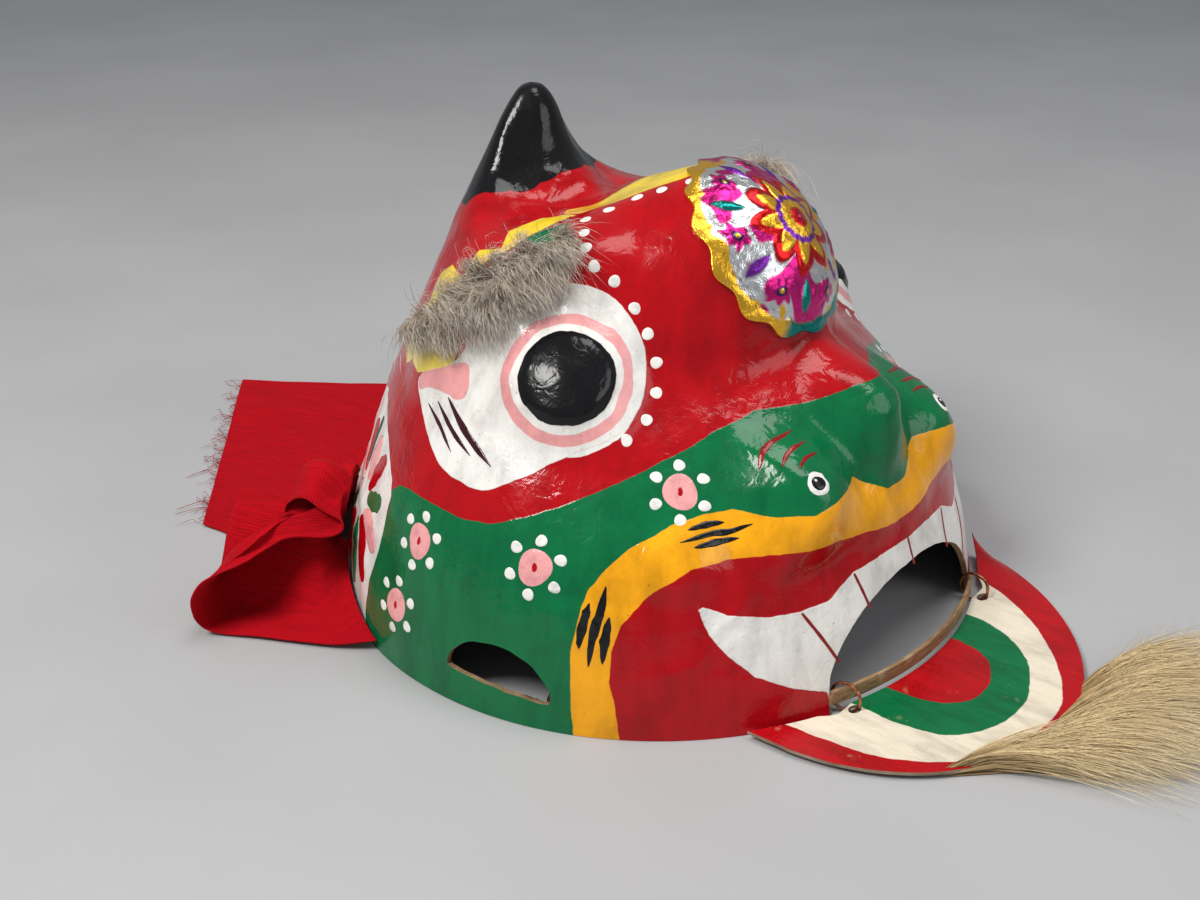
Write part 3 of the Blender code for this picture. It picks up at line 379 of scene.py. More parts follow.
@dataclass
class Surface:
    """Points, faces of one size and attributes that grow into a mesh object."""

    points: np.ndarray
    faces: list
    attributes: dict
    slots: list

    @classmethod
    def empty(cls) -> "Surface":
        """A surface with nothing in it."""
        return cls(np.zeros((0, 3)), [], {}, [])

    def add(self, points: np.ndarray, faces: np.ndarray, slot: int = 0, **attributes) -> int:
        """Adds a part.

        Args:
            points: (count, 3).
            faces: (count, 3 or 4) indices into those points.
            slot: the material slot of its faces.
            attributes: one value or colour for each point, by name.

        Returns:
            The index of the part's first point.
        """
        start = len(self.points)
        self.points = np.concatenate([self.points, points.reshape(-1, 3)])
        self.faces.append(np.asarray(faces) + start)
        self.slots.append(np.full(len(faces), slot))
        count = len(self.points) - start
        for name in sorted(set(self.attributes) | set(attributes)):
            given = attributes.get(name)
            if given is None:
                given = np.zeros((count,) + self.attributes[name].shape[1:])
            given = np.asarray(given, float)
            before = self.attributes.get(name)
            if before is None:
                before = np.zeros((start,) + given.shape[1:])
            self.attributes[name] = np.concatenate([before, given])
        return start

    def add_strands(self, paths: np.ndarray, radii: np.ndarray,
                    shade: np.ndarray | None = None) -> None:
        """Adds thin tubes along lines, with how far along each point is.

        Args:
            paths: (strands, places, 3).
            radii: (strands, places); the last is taken as a point.
            shade: one value for each strand, or none for plain tubes.
        """
        body, quads, tips = strands(paths, radii)
        values = {}
        if shade is not None:
            count, places = paths.shape[:2]
            along = np.append(np.repeat(np.linspace(0, LAST_RING_SHARE, places - 1), 3), 1.0)
            values = {"along": np.tile(along, count), "shade": np.repeat(shade, len(along))}
        start = self.add(body, quads, 0, **values)
        self.faces.append(tips + start)
        self.slots.append(np.zeros(len(tips), int))

    def add_rim(self, outer: np.ndarray, inner: np.ndarray, triangles: np.ndarray, slot: int = 0,
                **attributes) -> None:
        """Closes two faces along the open edges of the triangles that both have.

        Args:
            outer, inner: (count, 3) corners of the two faces.
            triangles: (count, 3) of the outer face.
            slot: the material slot of the rim.
            attributes: one value for each corner, by name.
        """
        first, second = open_edges(triangles).T

        def four(a: np.ndarray, b: np.ndarray) -> np.ndarray:
            """The corners of each quad, one corner after the other."""
            return np.concatenate([a[second], a[first], b[first], b[second]])

        quads = np.arange(len(first))[:, None] + np.arange(4) * len(first)
        self.add(four(outer, inner), quads, slot,
                 **{name: four(values, values) for name, values in attributes.items()})

    def build(self, name: str, materials: list) -> bpy.types.Object:
        """The mesh object, smooth shaded, with its attributes and materials.

        Args:
            name: of the object and its mesh.
            materials: one for each slot.

        Returns:
            The object, not yet placed on a body.
        """
        mesh = bpy.data.meshes.new(name)
        mesh.vertices.add(len(self.points))
        mesh.vertices.foreach_set("co", self.points.astype(np.float32).ravel())
        sizes = np.concatenate([np.full(len(f), f.shape[1]) for f in self.faces])
        corners = np.concatenate([f.ravel() for f in self.faces]).astype(np.int32)
        mesh.loops.add(len(corners))
        mesh.loops.foreach_set("vertex_index", corners)
        mesh.polygons.add(len(sizes))
        starts = np.concatenate([[0], np.cumsum(sizes)[:-1]]).astype(np.int32)
        mesh.polygons.foreach_set("loop_start", starts)
        mesh.polygons.foreach_set("loop_total", sizes.astype(np.int32))
        mesh.polygons.foreach_set("material_index", np.concatenate(self.slots).astype(np.int32))
        for key, values in self.attributes.items():
            if values.ndim == 1:
                layer = mesh.attributes.new(key, "FLOAT", "POINT")
                layer.data.foreach_set("value", values.astype(np.float32))
            elif values.shape[1] == 2:
                layer = mesh.uv_layers.new(name=key)
                layer.data.foreach_set("uv", values[corners].astype(np.float32).ravel())
            else:
                layer = mesh.attributes.new(key, "FLOAT_COLOR", "POINT")
                alpha = np.concatenate([values, np.ones((len(values), 1))], axis=1)
                layer.data.foreach_set("color", alpha.astype(np.float32).ravel())
        mesh.update(calc_edges=True)
        mesh.validate()
        mesh.shade_smooth()
        for material in materials:
            mesh.materials.append(material)
        made = bpy.data.objects.new(name, mesh)
        bpy.context.scene.collection.objects.link(made)
        return made


def place(piece: bpy.types.Object, body: str, slot: str) -> bpy.types.Object:
    """Fastens a finished piece to its body."""
    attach(piece, body)
    log.info("%s: %d faces", piece.name, len(piece.data.polygons))
    return piece


def strands(paths: np.ndarray, radii: np.ndarray, sides: int = 3) -> tuple:
    """Thin tubes along many lines at once, each closed to a point at its tip.

    Args:
        paths: (strands, places, 3).
        radii: (strands, places); the last is taken as a point.
        sides: corners of each tube.

    Returns:
        Points, quads and triangles.
    """
    count, places = paths.shape[:2]
    forward = unit(np.gradient(paths, axis=1))
    upright = np.abs(forward[..., 2:]) >= 0.8
    rough = np.where(upright, np.array([1.0, 0, 0]), np.array([0, 0, 1.0]))
    side = unit(np.cross(forward, rough))
    up = np.cross(side, forward)
    turn = np.arange(sides) * 2 * math.pi / sides
    ring = (
        side[:, :, None] * np.cos(turn)[None, None, :, None]
        + up[:, :, None] * np.sin(turn)[None, None, :, None]
    )
    body = paths[:, :-1, None] + ring[:, :-1] * radii[:, :-1, None, None]
    per = (places - 1) * sides
    points = np.concatenate([body.reshape(count, per, 3), paths[:, -1:]], axis=1)
    quads = grid_quads(places - 1, sides, closed=True)[:, ::-1]
    last = (places - 2) * sides
    tips = np.array([(last + (k + 1) % sides, last + k, per) for k in range(sides)])
    starts = (np.arange(count) * (per + 1))[:, None, None]
    return (
        points.reshape(-1, 3),
        (quads[None] + starts).reshape(-1, 4),
        (tips[None] + starts).reshape(-1, 3),
    )


def clipped(values: np.ndarray, triangles: np.ndarray, field: np.ndarray) -> tuple:
    """Cuts triangles along the line where the field is zero and keeps where it is positive.

    Args:
        values: (count, columns), whatever is known at each corner.
        triangles: (count, 3).
        field: one value for each corner.

    Returns:
        The values with rows for the new corners, and the kept triangles.
    """
    keep = field > 0
    kept = keep[triangles].sum(axis=1)
    edges, made = {}, []

    def corner(a: int, b: int) -> int:
        """The new corner on the edge between a and b."""
        key = (min(a, b), max(a, b))
        if key not in edges:
            edges[key] = len(values) + len(made)
            share = field[key[0]] / (field[key[0]] - field[key[1]])
            made.append(values[key[0]] + share * (values[key[1]] - values[key[0]]))
        return edges[key]

    fresh = []
    for triangle in triangles[(kept == 1) | (kept == 2)]:
        odd = int(np.argmax(keep[triangle] == (keep[triangle].sum() == 1)))
        a, b, c = (int(triangle[(odd + k) % 3]) for k in range(3))
        ab, ac = corner(a, b), corner(a, c)
        fresh.extend([(a, ab, ac)] if keep[a] else [(ab, b, c), (ab, c, ac)])
    triangles = triangles[kept == 3]
    if fresh:
        triangles = np.concatenate([triangles, np.array(fresh)])
        values = np.concatenate([values, np.array(made)])
    return values, triangles


def open_edges(triangles: np.ndarray) -> np.ndarray:
    """The edges (count, 2) that belong to one triangle only, in its own direction."""
    edges = np.concatenate([triangles[:, [0, 1]], triangles[:, [1, 2]], triangles[:, [2, 0]]])
    low, high = edges.min(axis=1), edges.max(axis=1)
    _, first, count = np.unique(low * (high.max() + 1) + high, return_index=True,
                                return_counts=True)
    return edges[first[count == 1]]


def compact(values: np.ndarray, triangles: np.ndarray) -> tuple:
    """The corners that triangles use, and the triangles renumbered to them."""
    used, renumbered = np.unique(triangles, return_inverse=True)
    return values[used], renumbered.reshape(triangles.shape)


def fan(count: int, tip: int, start: int = 0) -> np.ndarray:
    """Triangles from each side of a closed ring of corners to a tip."""
    here = np.arange(count)
    return np.stack([start + here, start + (here + 1) % count, np.full(count, tip)], axis=-1)


def from_front(angle: np.ndarray) -> np.ndarray:
    """The angle from the front to either side, 0 to pi."""
    return np.abs(np.mod(np.asarray(angle) + math.pi, 2 * math.pi) - math.pi)


def saw(turn: np.ndarray, count: int, shift: float = 0.5) -> np.ndarray:
    """A wave of straight sides from 0 to 1, count times round."""
    return np.abs(np.mod(turn * count / (2 * math.pi) + shift, 1) - 0.5) * 2


class HeadForm:
    """The shell's outer face as a function of its chart, in world metres, with wrinkles."""

    bend = (0.012, 0.010, 0.014)
    crease_height = 0.0011
    crossing_height = 0.0006
    cockle = (Ripple(0.017, 0.00052, 15), Ripple(0.0075, 0.00012, 16))
    rim_fade = 0.35
    pupil_rise = 0.0016
    pupil_edge = (0.0175, 0.0222)

    def __init__(self, root: np.ndarray) -> None:
        """Keeps where the work frame's origin lies in the world.

        Args:
            root: the origin's place.
        """
        self.root = root
        rows = sorted(SECTIONS)
        table = np.array([SECTIONS[row] for row in rows], float).reshape(len(rows), -1)
        self.places = np.array([-rows[2], -rows[1], *rows, 360 - rows[-2], 360 - rows[-3]], float)
        self.table = np.concatenate([table[[2, 1]], table, table[[-2, -3]]])
        self.slopes = np.zeros_like(self.table)
        gaps = (self.places[2:] - self.places[:-2])[:, None]
        self.slopes[1:-1] = (self.table[2:] - self.table[:-2]) / gaps
        fine = np.linspace(0, math.pi, 4001)
        self.rim_table = (fine, self.rim_solved(fine))

    @staticmethod
    def rim_solved(angle: np.ndarray) -> np.ndarray:
        """Distance from the horn's axis to the rim by halving: two half superellipses."""
        side, back = np.sin(angle), -np.cos(angle)
        low, high = np.zeros_like(angle), np.full_like(angle, 2 * (HALF_WIDTH + FRONT_REACH))
        for _ in range(45):
            middle = (low + high) / 2
            y = middle * back + WIDEST_AHEAD
            half = np.where(y < 0, FRONT_REACH - WIDEST_AHEAD, BACK_REACH + WIDEST_AHEAD)
            power = np.where(y < 0, *RIM_ROUND)
            inside = (middle * side / HALF_WIDTH) ** power + (np.abs(y) / half) ** power < 1
            low, high = np.where(inside, middle, low), np.where(inside, high, middle)
        return (low + high) / 2

    def rim_reach(self, angle: np.ndarray) -> np.ndarray:
        """Distance from the horn's axis to the rim at angles from the front."""
        return np.interp(from_front(angle), *self.rim_table)

    def smooth(self, angle: np.ndarray, ring: np.ndarray) -> np.ndarray:
        """Points of the outer face without wrinkles, in the work frame.

        Args:
            angle: radians from the front.
            ring: ring numbers, which spread against the angles.

        Returns:
            Points with three coordinates in a new last axis.
        """
        shape = np.broadcast(angle, ring).shape
        angle = np.broadcast_to(angle, shape).ravel()
        ring = np.clip(np.broadcast_to(ring, shape).ravel(), 0, TIP_RING)
        turn = np.degrees(from_front(angle))
        row = np.clip(np.searchsorted(self.places, turn, side="right") - 1, 0, len(self.places) - 2)
        width = self.places[row + 1] - self.places[row]
        share = (turn - self.places[row]) / width
        at = np.clip(np.floor(ring).astype(int), 0, TIP_RING - 1)

        def pair(shift: int) -> np.ndarray:
            """The ring pair at a number of rings from each place's own."""
            ring_at = np.clip(at + shift, 0, TIP_RING)
            columns = np.stack([2 * ring_at, 2 * ring_at + 1], axis=-1)
            a, b = self.table[row[:, None], columns], self.table[row[:, None] + 1, columns]
            da = self.slopes[row[:, None], columns] * width[:, None]
            db = self.slopes[row[:, None] + 1, columns] * width[:, None]
            return through(a, b, da, db, share[:, None])

        before, here, there, past = pair(-1), pair(0), pair(1), pair(2)
        slope_a = np.where((at == 0)[:, None], there - here, (there - before) / 2)
        both = through(here, there, slope_a, (past - here) / 2, (ring - at)[:, None])
        reach = both[:, 0] * self.rim_reach(angle)
        points = np.stack(
            [reach * np.sin(angle), -reach * np.cos(angle), both[:, 1] * HEAD_HEIGHT], axis=-1
        )
        scale = np.array([HALF_WIDTH, FRONT_REACH, HEAD_HEIGHT])
        moved = np.zeros_like(points)
        for centre, radii, push in SWELLINGS.values():
            for side in (1, -1) if centre[0] else (1,):
                mirror = np.array([side, 1, 1])
                middle, size = np.array(centre) * scale * mirror, np.array(radii) * HALF_WIDTH
                offset = (points - middle) / size
                near = np.clip(1 - (offset**2).sum(axis=-1), 0, 1) ** 2
                moved += near[..., None] * np.array(push) * HALF_WIDTH * mirror
        return (points + moved).reshape(shape + (3,))

    def slopes_at(self, angle: np.ndarray, ring: np.ndarray) -> tuple:
        """The outer face's change per radian and per ring."""
        turn, rise = 1e-3, 0.02
        low, high = np.maximum(ring - rise, 0), np.minimum(ring + rise, TIP_RING)
        across = (self.smooth(angle + turn, ring) - self.smooth(angle - turn, ring)) / (2 * turn)
        up = (self.smooth(angle, high) - self.smooth(angle, low)) / (high - low)[..., None]
        return across, up

    def normal(self, angle: np.ndarray, ring: np.ndarray) -> np.ndarray:
        """Outward unit normals."""
        return unit(np.cross(*self.slopes_at(angle, ring)))

    def wrinkles(self, points: np.ndarray, ring: np.ndarray) -> np.ndarray:
        """Height of the paper's wrinkles.

        Long soft creases are where a stretched noise crosses zero, bent by a wider noise; finer
        cockling lies over them. Both fade out at the rim, where the head stands.
        """
        bend = value_noise(points, 0.045, 11)[..., None] * np.array(self.bend)
        stretched = (points + bend) * np.array([1.0, 1.0, 1.7])
        crease = (1 - np.abs(value_noise(stretched, 0.034, 12))) ** 7
        crossing = (1 - np.abs(value_noise(stretched[..., ::-1], 0.022, 13))) ** 6
        where = smooth_step(-0.25, 0.45, value_noise(points, 0.05, 14))
        height = (crease * self.crease_height + crossing * self.crossing_height) * where
        height = height + sum(ripple.at(points) for ripple in self.cockle)
        return height * smooth_step(0, self.rim_fade, ring)

    def face(self, angle: np.ndarray, ring: np.ndarray, height: np.ndarray = 0.0) -> np.ndarray:
        """World points at a height over the wrinkled outer face.

        Args:
            angle: radians from the front.
            ring: ring numbers.
            height: metres along the normal.

        Returns:
            Points in world metres.
        """
        points = self.smooth(angle, ring)
        lift = self.wrinkles(points, ring) + height + self.dome(points)
        return points + self.normal(angle, ring) * lift[..., None] + self.root

    def dome(self, points: np.ndarray) -> np.ndarray:
        """The pupil's bulge: a flattened cap on each eyeball."""
        reach = np.linalg.norm(points - self.eye_place(points), axis=-1)
        return self.pupil_rise * (1 - smooth_step(*self.pupil_edge, reach))

    def eye_place(self, points: np.ndarray) -> np.ndarray:
        """The centre of the eye on each point's side of the head."""
        centre = self.smooth(np.radians(EYE_CENTRE[0]), np.array(EYE_CENTRE[1]))
        side = np.where(points[..., :1] < 0, 1.0, -1.0)
        return centre * np.concatenate([side, np.ones_like(side), np.ones_like(side)], axis=-1)

    def directions(self, angle: float, ring: float) -> tuple:
        """Unit vectors (1, 3) along the face at one place: round the head, and up."""
        across, up = self.slopes_at(np.array([angle]), np.array([ring]))
        return unit(across), unit(np.cross(np.cross(across, up), across))

    def moved(self, angle: np.ndarray, ring: np.ndarray, shift: np.ndarray) -> tuple:
        """The chart places reached by small shifts along the face.

        Args:
            angle, ring: the places shifted from.
            shift: (..., 3) metres.

        Returns:
            Angles and rings, from the least-squares share of the two slopes in the shift.
        """
        across, up = self.slopes_at(angle, ring)
        aa, bb, ab = (across**2).sum(-1), (up**2).sum(-1), (across * up).sum(-1)
        sa, sb = (across * shift).sum(-1), (up * shift).sum(-1)
        whole = np.maximum(aa * bb - ab * ab, 1e-16)
        return angle + (sa * bb - sb * ab) / whole, ring + (sb * aa - sa * ab) / whole


class Shader:
    """A small builder for one material's nodes."""

    def __init__(self, name: str) -> None:
        """Starts a material with a Principled shader.

        Args:
            name: the material's name.
        """
        self.material = bpy.data.materials.new(name)
        self.material.use_nodes = True
        self.tree = self.material.node_tree
        self.principled = self.tree.nodes["Principled BSDF"]

    def node(self, kind: str, output: object = 0, inputs: dict = None, **settings) -> object:
        """Adds a node.

        Args:
            kind: the node's type after "ShaderNode".
            output: which output to hand back.
            inputs: values or sockets by input name or number.
            settings: the node's own settings.

        Returns:
            The output socket.
        """
        made = self.tree.nodes.new("ShaderNode" + kind)
        for key, value in settings.items():
            setattr(made, key, value)
        for key, value in (inputs or {}).items():
            self.set(made.inputs[key], value)
        return made.outputs[output]

    def set(self, socket: object, value: object) -> None:
        """Links a socket to the input, or writes a number or colour on it."""
        if isinstance(value, bpy.types.NodeSocket):
            self.tree.links.new(value, socket)
        elif isinstance(value, (tuple, list)) and socket.type == "RGBA" and len(value) == 3:
            socket.default_value = (*value, 1)
        else:
            socket.default_value = value

    def finish(self, **inputs) -> bpy.types.Material:
        """Sets the Principled shader's inputs, named with underscores for spaces."""
        for key, value in inputs.items():
            label = key.replace("_", " ").title().replace("Ior", "IOR")
            self.set(self.principled.inputs[label], value)
        return self.material

    def place(self) -> object:
        """The place on the finished piece."""
        return self.node("TexCoord", "Object")

    def attribute(self, name: str, output: str = "Fac") -> object:
        """A value stored on the mesh."""
        return self.node("Attribute", output, attribute_name=name)

    def math(self, operation: str, *values) -> object:
        """One arithmetic step."""
        return self.node("Math", inputs=dict(enumerate(values)), operation=operation)

    def noise(self, scale: float, detail: float = 2.0, roughness: float = 0.5,
              vector: object = None,
              distortion: float = 0.0) -> object:
        """Noise from 0 to 1."""
        return self.node("TexNoise", 0, {
            "Vector": vector or self.place(), "Scale": scale, "Detail": detail,
            "Roughness": roughness, "Distortion": distortion})

    def swing(self, scale: float, reach: float) -> object:
        """Noise that swings evenly to both sides of zero."""
        return self.math("MULTIPLY", self.math("SUBTRACT", self.noise(scale), 0.5), reach)

    def stretched(self, *scale: float) -> object:
        """The place with its axes scaled, for noise that is drawn out."""
        return self.node("Mapping", 0, {"Vector": self.place(), "Scale": scale})

    def between(self, value: object, low: float, high: float, to_low: float = 0.0,
                to_high: float = 1.0) -> object:
        """The value from low to high drawn out smoothly from to_low to to_high."""
        return self.node("MapRange", 0, {
            "Value": value, "From Min": low, "From Max": high, "To Min": to_low, "To Max": to_high},
            interpolation_type="SMOOTHSTEP")

    def mix(self, share: object, a: object, b: object, blend: str = "MIX") -> object:
        """Two colours mixed by a share."""
        made = self.tree.nodes.new("ShaderNodeMix")
        made.data_type = "RGBA"
        made.blend_type = blend
        for index, value in ((0, share), (6, a), (7, b)):
            self.set(made.inputs[index], value)
        return made.outputs[2]

    def layers(self, areas: dict, colour: object, relief: object, waver: object, edge: float,
               step: float) -> tuple:
        """Brushes areas over each other, each with a wavering edge that stands up a little.

        Args:
            areas: paint by the name of the area.
            colour, relief: what lies below.
            waver: metres by which the edges stray.
            edge: half the width of the change of colour.
            step: share of the relief that each layer adds.

        Returns:
            The colour and the relief.
        """
        for name, paint in areas.items():
            inside = self.math("ADD", self.attribute("area_" + name), waver)
            colour = self.mix(self.between(inside, -edge, edge), colour, paint.value)
            rise = self.math("MULTIPLY", self.between(inside, -0.0005, 0.0005), step)
            relief = self.math("ADD", relief, rise)
        return colour, relief

    def bump(self, height: object, distance: float, strength: float = 1.0,
             over: object = None) -> object:
        """A normal tilted by a height in metres."""
        inputs = {"Height": height, "Distance": distance, "Strength": strength}
        if over is not None:
            inputs["Normal"] = over
        return self.node("Bump", 0, inputs)


@dataclass(frozen=True)
class LacqueredPaint:
    """Brushed poster paint under thick lacquer, one area over another with wavering edges."""

    waver: float = 0.0011
    edge: float = 0.00022
    step: float = 0.10
    ring_waver: float = 0.0036
    brush_scale: float = 85.0
    brush_pull: tuple = (1.0, 1.0, 0.22)
    roughness: float = 0.13
    wear: float = 0.14

    def make(self) -> bpy.types.Material:
        """Paints the areas in order by their distance attributes, then the eye's rings."""
        s = Shader("lacquered_paint")
        waver = s.swing(190, self.waver)
        relief = s.math("MULTIPLY", s.noise(165, 2, 0.5, distortion=0.9), 0.34)
        areas = {name: paint for name, (paint, _) in PAINTED_AREAS.items()}
        colour, relief = s.layers(areas, Paint.RED.value, relief, waver, self.edge, self.step)
        uneven = s.math("ADD", waver, s.swing(60, self.ring_waver))
        reach = s.math("ADD", s.attribute("eye_reach"), uneven)
        for paint, radius in EYE_RINGS:
            share = s.between(reach, radius - self.edge, radius + self.edge, 1.0, 0.0)
            colour = s.mix(share, colour, paint.value)
        streaks = s.noise(self.brush_scale, 5, 0.62, vector=s.stretched(*self.brush_pull))
        streaks = s.between(streaks, 0.35, 0.75, 0.0, 0.28)
        colour = s.mix(streaks, colour, (0.0, 0.0, 0.0), "MULTIPLY")
        grime = s.between(s.noise(22, 5, 0.6), 0.50, 0.78, 0.0, 0.30)
        colour = s.mix(grime, colour, (0.12, 0.05, 0.02), "MULTIPLY")
        specks = s.between(s.noise(620, 1, 0.5), 0.70, 0.78, 0.0, 0.35)
        colour = s.mix(specks, colour, (0.05, 0.02, 0.01))
        worn = s.noise(38, 4, 0.6)
        gloss = s.between(worn, 0.35, 0.75, self.roughness, self.roughness + self.wear)
        fine = s.bump(s.noise(420, 3, 0.6), 0.00004)
        wrinkled = s.bump(relief, 0.0010, 1.0, fine)
        return s.finish(base_color=colour, roughness=gloss, normal=wrinkled,
                        specular_ior_level=0.24, coat_weight=0.14, coat_roughness=0.06,
                        coat_normal=wrinkled)


@dataclass(frozen=True)
class BarePaper:
    """Unpainted paper: the blackened inside or the tan cut edge."""

    name: str
    colour: tuple
    fibre: tuple

    def make(self) -> bpy.types.Material:
        """Mottled matt paper with pasted layers."""
        s = Shader(self.name)
        mottle = s.between(s.noise(90, 6, 0.65), 0.35, 0.7)
        colour = s.mix(mottle, self.colour, self.fibre)
        layers = s.bump(s.noise(300, 5, 0.7), 0.0006)
        return s.finish(base_color=colour, roughness=0.78, normal=layers)


@dataclass(frozen=True)
class MarkPaint:
    """Thick glossy strokes whose colour is stored on the mesh."""

    roughness: float = 0.16

    def make(self) -> bpy.types.Material:
        """Brushed colour with a little relief."""
        s = Shader("mark_paint")
        streaks = s.between(s.noise(160, 4, 0.6), 0.4, 0.75, 0.0, 0.28)
        colour = s.mix(streaks, s.attribute("paint", "Color"), (0.05, 0.02, 0.02), "MULTIPLY")
        bumped = s.bump(s.noise(300, 3, 0.55), 0.0004)
        return s.finish(base_color=colour, roughness=self.roughness, normal=bumped,
                        specular_ior_level=0.30, coat_weight=0.12, coat_roughness=0.08)


@dataclass
class PaintedShell:
    """The papier-mache shell with its painted areas."""

    form: HeadForm
    columns: int = 400
    rows: int = 200
    lining_columns: int = 180
    lining_rows: int = 64
    arch_half_width: float = 0.0665
    arch_height: float = 0.0485
    arch_spring: float = 0.004
    cheek_ahead: float = 0.108
    cheek_sill: float = 0.0145
    cheek_length: float = 0.052
    cheek_height: float = 0.0195
    cheek_slant: float = math.radians(5.0)
    far_side: float = 100.0  # degrees past which columns stand wider apart
    far_weight: float = 0.62
    tear = (Ripple(0.006, 0.012, 21), Ripple(0.0025, 0.006, 22))
    outline_reach: float = 0.01

    def column_angles(self, count: int) -> np.ndarray:
        """Angles round the head, closest together at the front and sides where the paint is."""
        fine = np.linspace(0, math.pi, 2001)
        reach = self.form.rim_reach(fine)
        run = np.hypot(np.gradient(reach * np.sin(fine)), np.gradient(reach * np.cos(fine)))
        weight = run * np.where(fine < math.radians(self.far_side), 1.0, self.far_weight)
        total = np.concatenate([[0], np.cumsum(weight)[:-1]])
        half = np.interp(np.linspace(0, 1, count // 2 + 1), total / total[-1], fine)
        return np.concatenate([half, -half[1:-1][::-1]])

    def openings(self, points: np.ndarray) -> tuple:
        """Fields of the mouth and the cheek cut-outs in the work frame, positive outside."""
        x, y, z = points[..., 0], points[..., 1], points[..., 2]
        ragged = sum(ripple.at(points) for ripple in self.tear)
        across = np.abs(x) / self.arch_half_width
        rise = np.maximum(z - self.arch_spring, 0) / (self.arch_height - self.arch_spring)
        mouth = np.hypot(across, rise) - 1 + ragged * 0.5
        mouth = np.where(y < -FRONT_REACH / 2, mouth, 1.0)
        along, up = y + self.cheek_ahead, z - self.cheek_sill
        cos, sin = math.cos(self.cheek_slant), math.sin(self.cheek_slant)
        along, up = along * cos + up * sin, up * cos - along * sin
        cheek = np.hypot(along / (self.cheek_length / 2), up / self.cheek_height) - 1
        cheek = np.maximum(cheek, -up / self.cheek_height) + ragged * 1.6
        cheek = np.where(np.abs(x) > HALF_WIDTH / 2, cheek, 1.0)
        return mouth, cheek

    def charted(self, columns: int, rows: int) -> tuple:
        """Chart places (count, 2) and triangles of the face, clipped at the openings."""
        angles = self.column_angles(columns)
        rings = TIP_RING * np.linspace(0, 1, rows + 1)[:-1]
        chart = np.stack(np.meshgrid(angles, rings), axis=-1).reshape(-1, 2)
        triangles = split(grid_quads(rows, columns, closed=True))
        triangles = np.concatenate([triangles, fan(columns, len(chart), (rows - 1) * columns)])
        chart = np.concatenate([chart, [[0.0, TIP_RING]]])
        for index in range(2):
            outside = self.openings(self.form.smooth(chart[:, 0], chart[:, 1]))[index]
            chart, triangles = clipped(chart, triangles, outside)
        return compact(chart, triangles)

    def distances(self, chart: np.ndarray) -> dict:
        """Distance into each painted area, in metres, the outlines mirrored about the middle."""
        turn = -from_front(chart[:, 0])
        ring = chart[:, 1]
        across, up = self.form.slopes_at(turn, ring)
        wide, tall = np.linalg.norm(across, axis=-1), np.linalg.norm(up, axis=-1)
        result = {}
        for name, (_, outline) in PAINTED_AREAS.items():
            if name in ROUND_AREAS:
                # Two corners before the start and three after it close the curve smoothly.
                loop = [*outline[-2:], *outline, *outline[:3]]
                outline = along_line(loop, 6 * len(outline) + 25)[12:-12]
            corners = np.array(outline, float) * np.array([math.pi / 180, 1])
            scaled = corners[None] * np.stack([wide, tall], axis=-1)[:, None, :]
            distance = inside_distance(turn * wide, ring * tall, scaled)
            result["area_" + name] = np.clip(distance, -self.outline_reach, self.outline_reach)
        return result

    def build(self) -> bpy.types.Object:
        """Outer face, cut edges and lining in one piece."""
        chart, triangles = self.charted(self.columns, self.rows)
        outer = self.form.face(chart[:, 0], chart[:, 1])
        inner = outer - self.form.normal(chart[:, 0], chart[:, 1]) * WALL
        for points in (outer, inner):
            points[chart[:, 1] < 1e-6, 2] = 0.0
        inner[:, 2] = np.maximum(inner[:, 2], 0.0)
        flat = self.form.smooth(chart[:, 0], chart[:, 1])
        reach = np.linalg.norm(flat - self.form.eye_place(flat), axis=-1)
        surface = Surface.empty()
        surface.add(outer, triangles, 0, eye_reach=reach, **self.distances(chart))
        surface.add_rim(outer, inner, triangles, 2)
        chart, triangles = self.charted(self.lining_columns, self.lining_rows)
        lining = self.form.smooth(chart[:, 0], chart[:, 1]) + self.form.root
        lining -= self.form.normal(chart[:, 0], chart[:, 1]) * WALL
        lining[chart[:, 1] < 1e-6, 2] = 0.0
        lining[:, 2] = np.maximum(lining[:, 2], 0.0)
        surface.add(lining, triangles[:, ::-1], 1)
        inside = BarePaper("blackened_paper", (0.012, 0.007, 0.006), (0.05, 0.012, 0.010))
        edge = BarePaper("cut_paper", (0.36, 0.23, 0.12), (0.16, 0.09, 0.045))
        made = surface.build("painted_shell", [LacqueredPaint().make(), inside.make(), edge.make()])
        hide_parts("head_shell")
        return place(made, "head", "lacquered_paper")


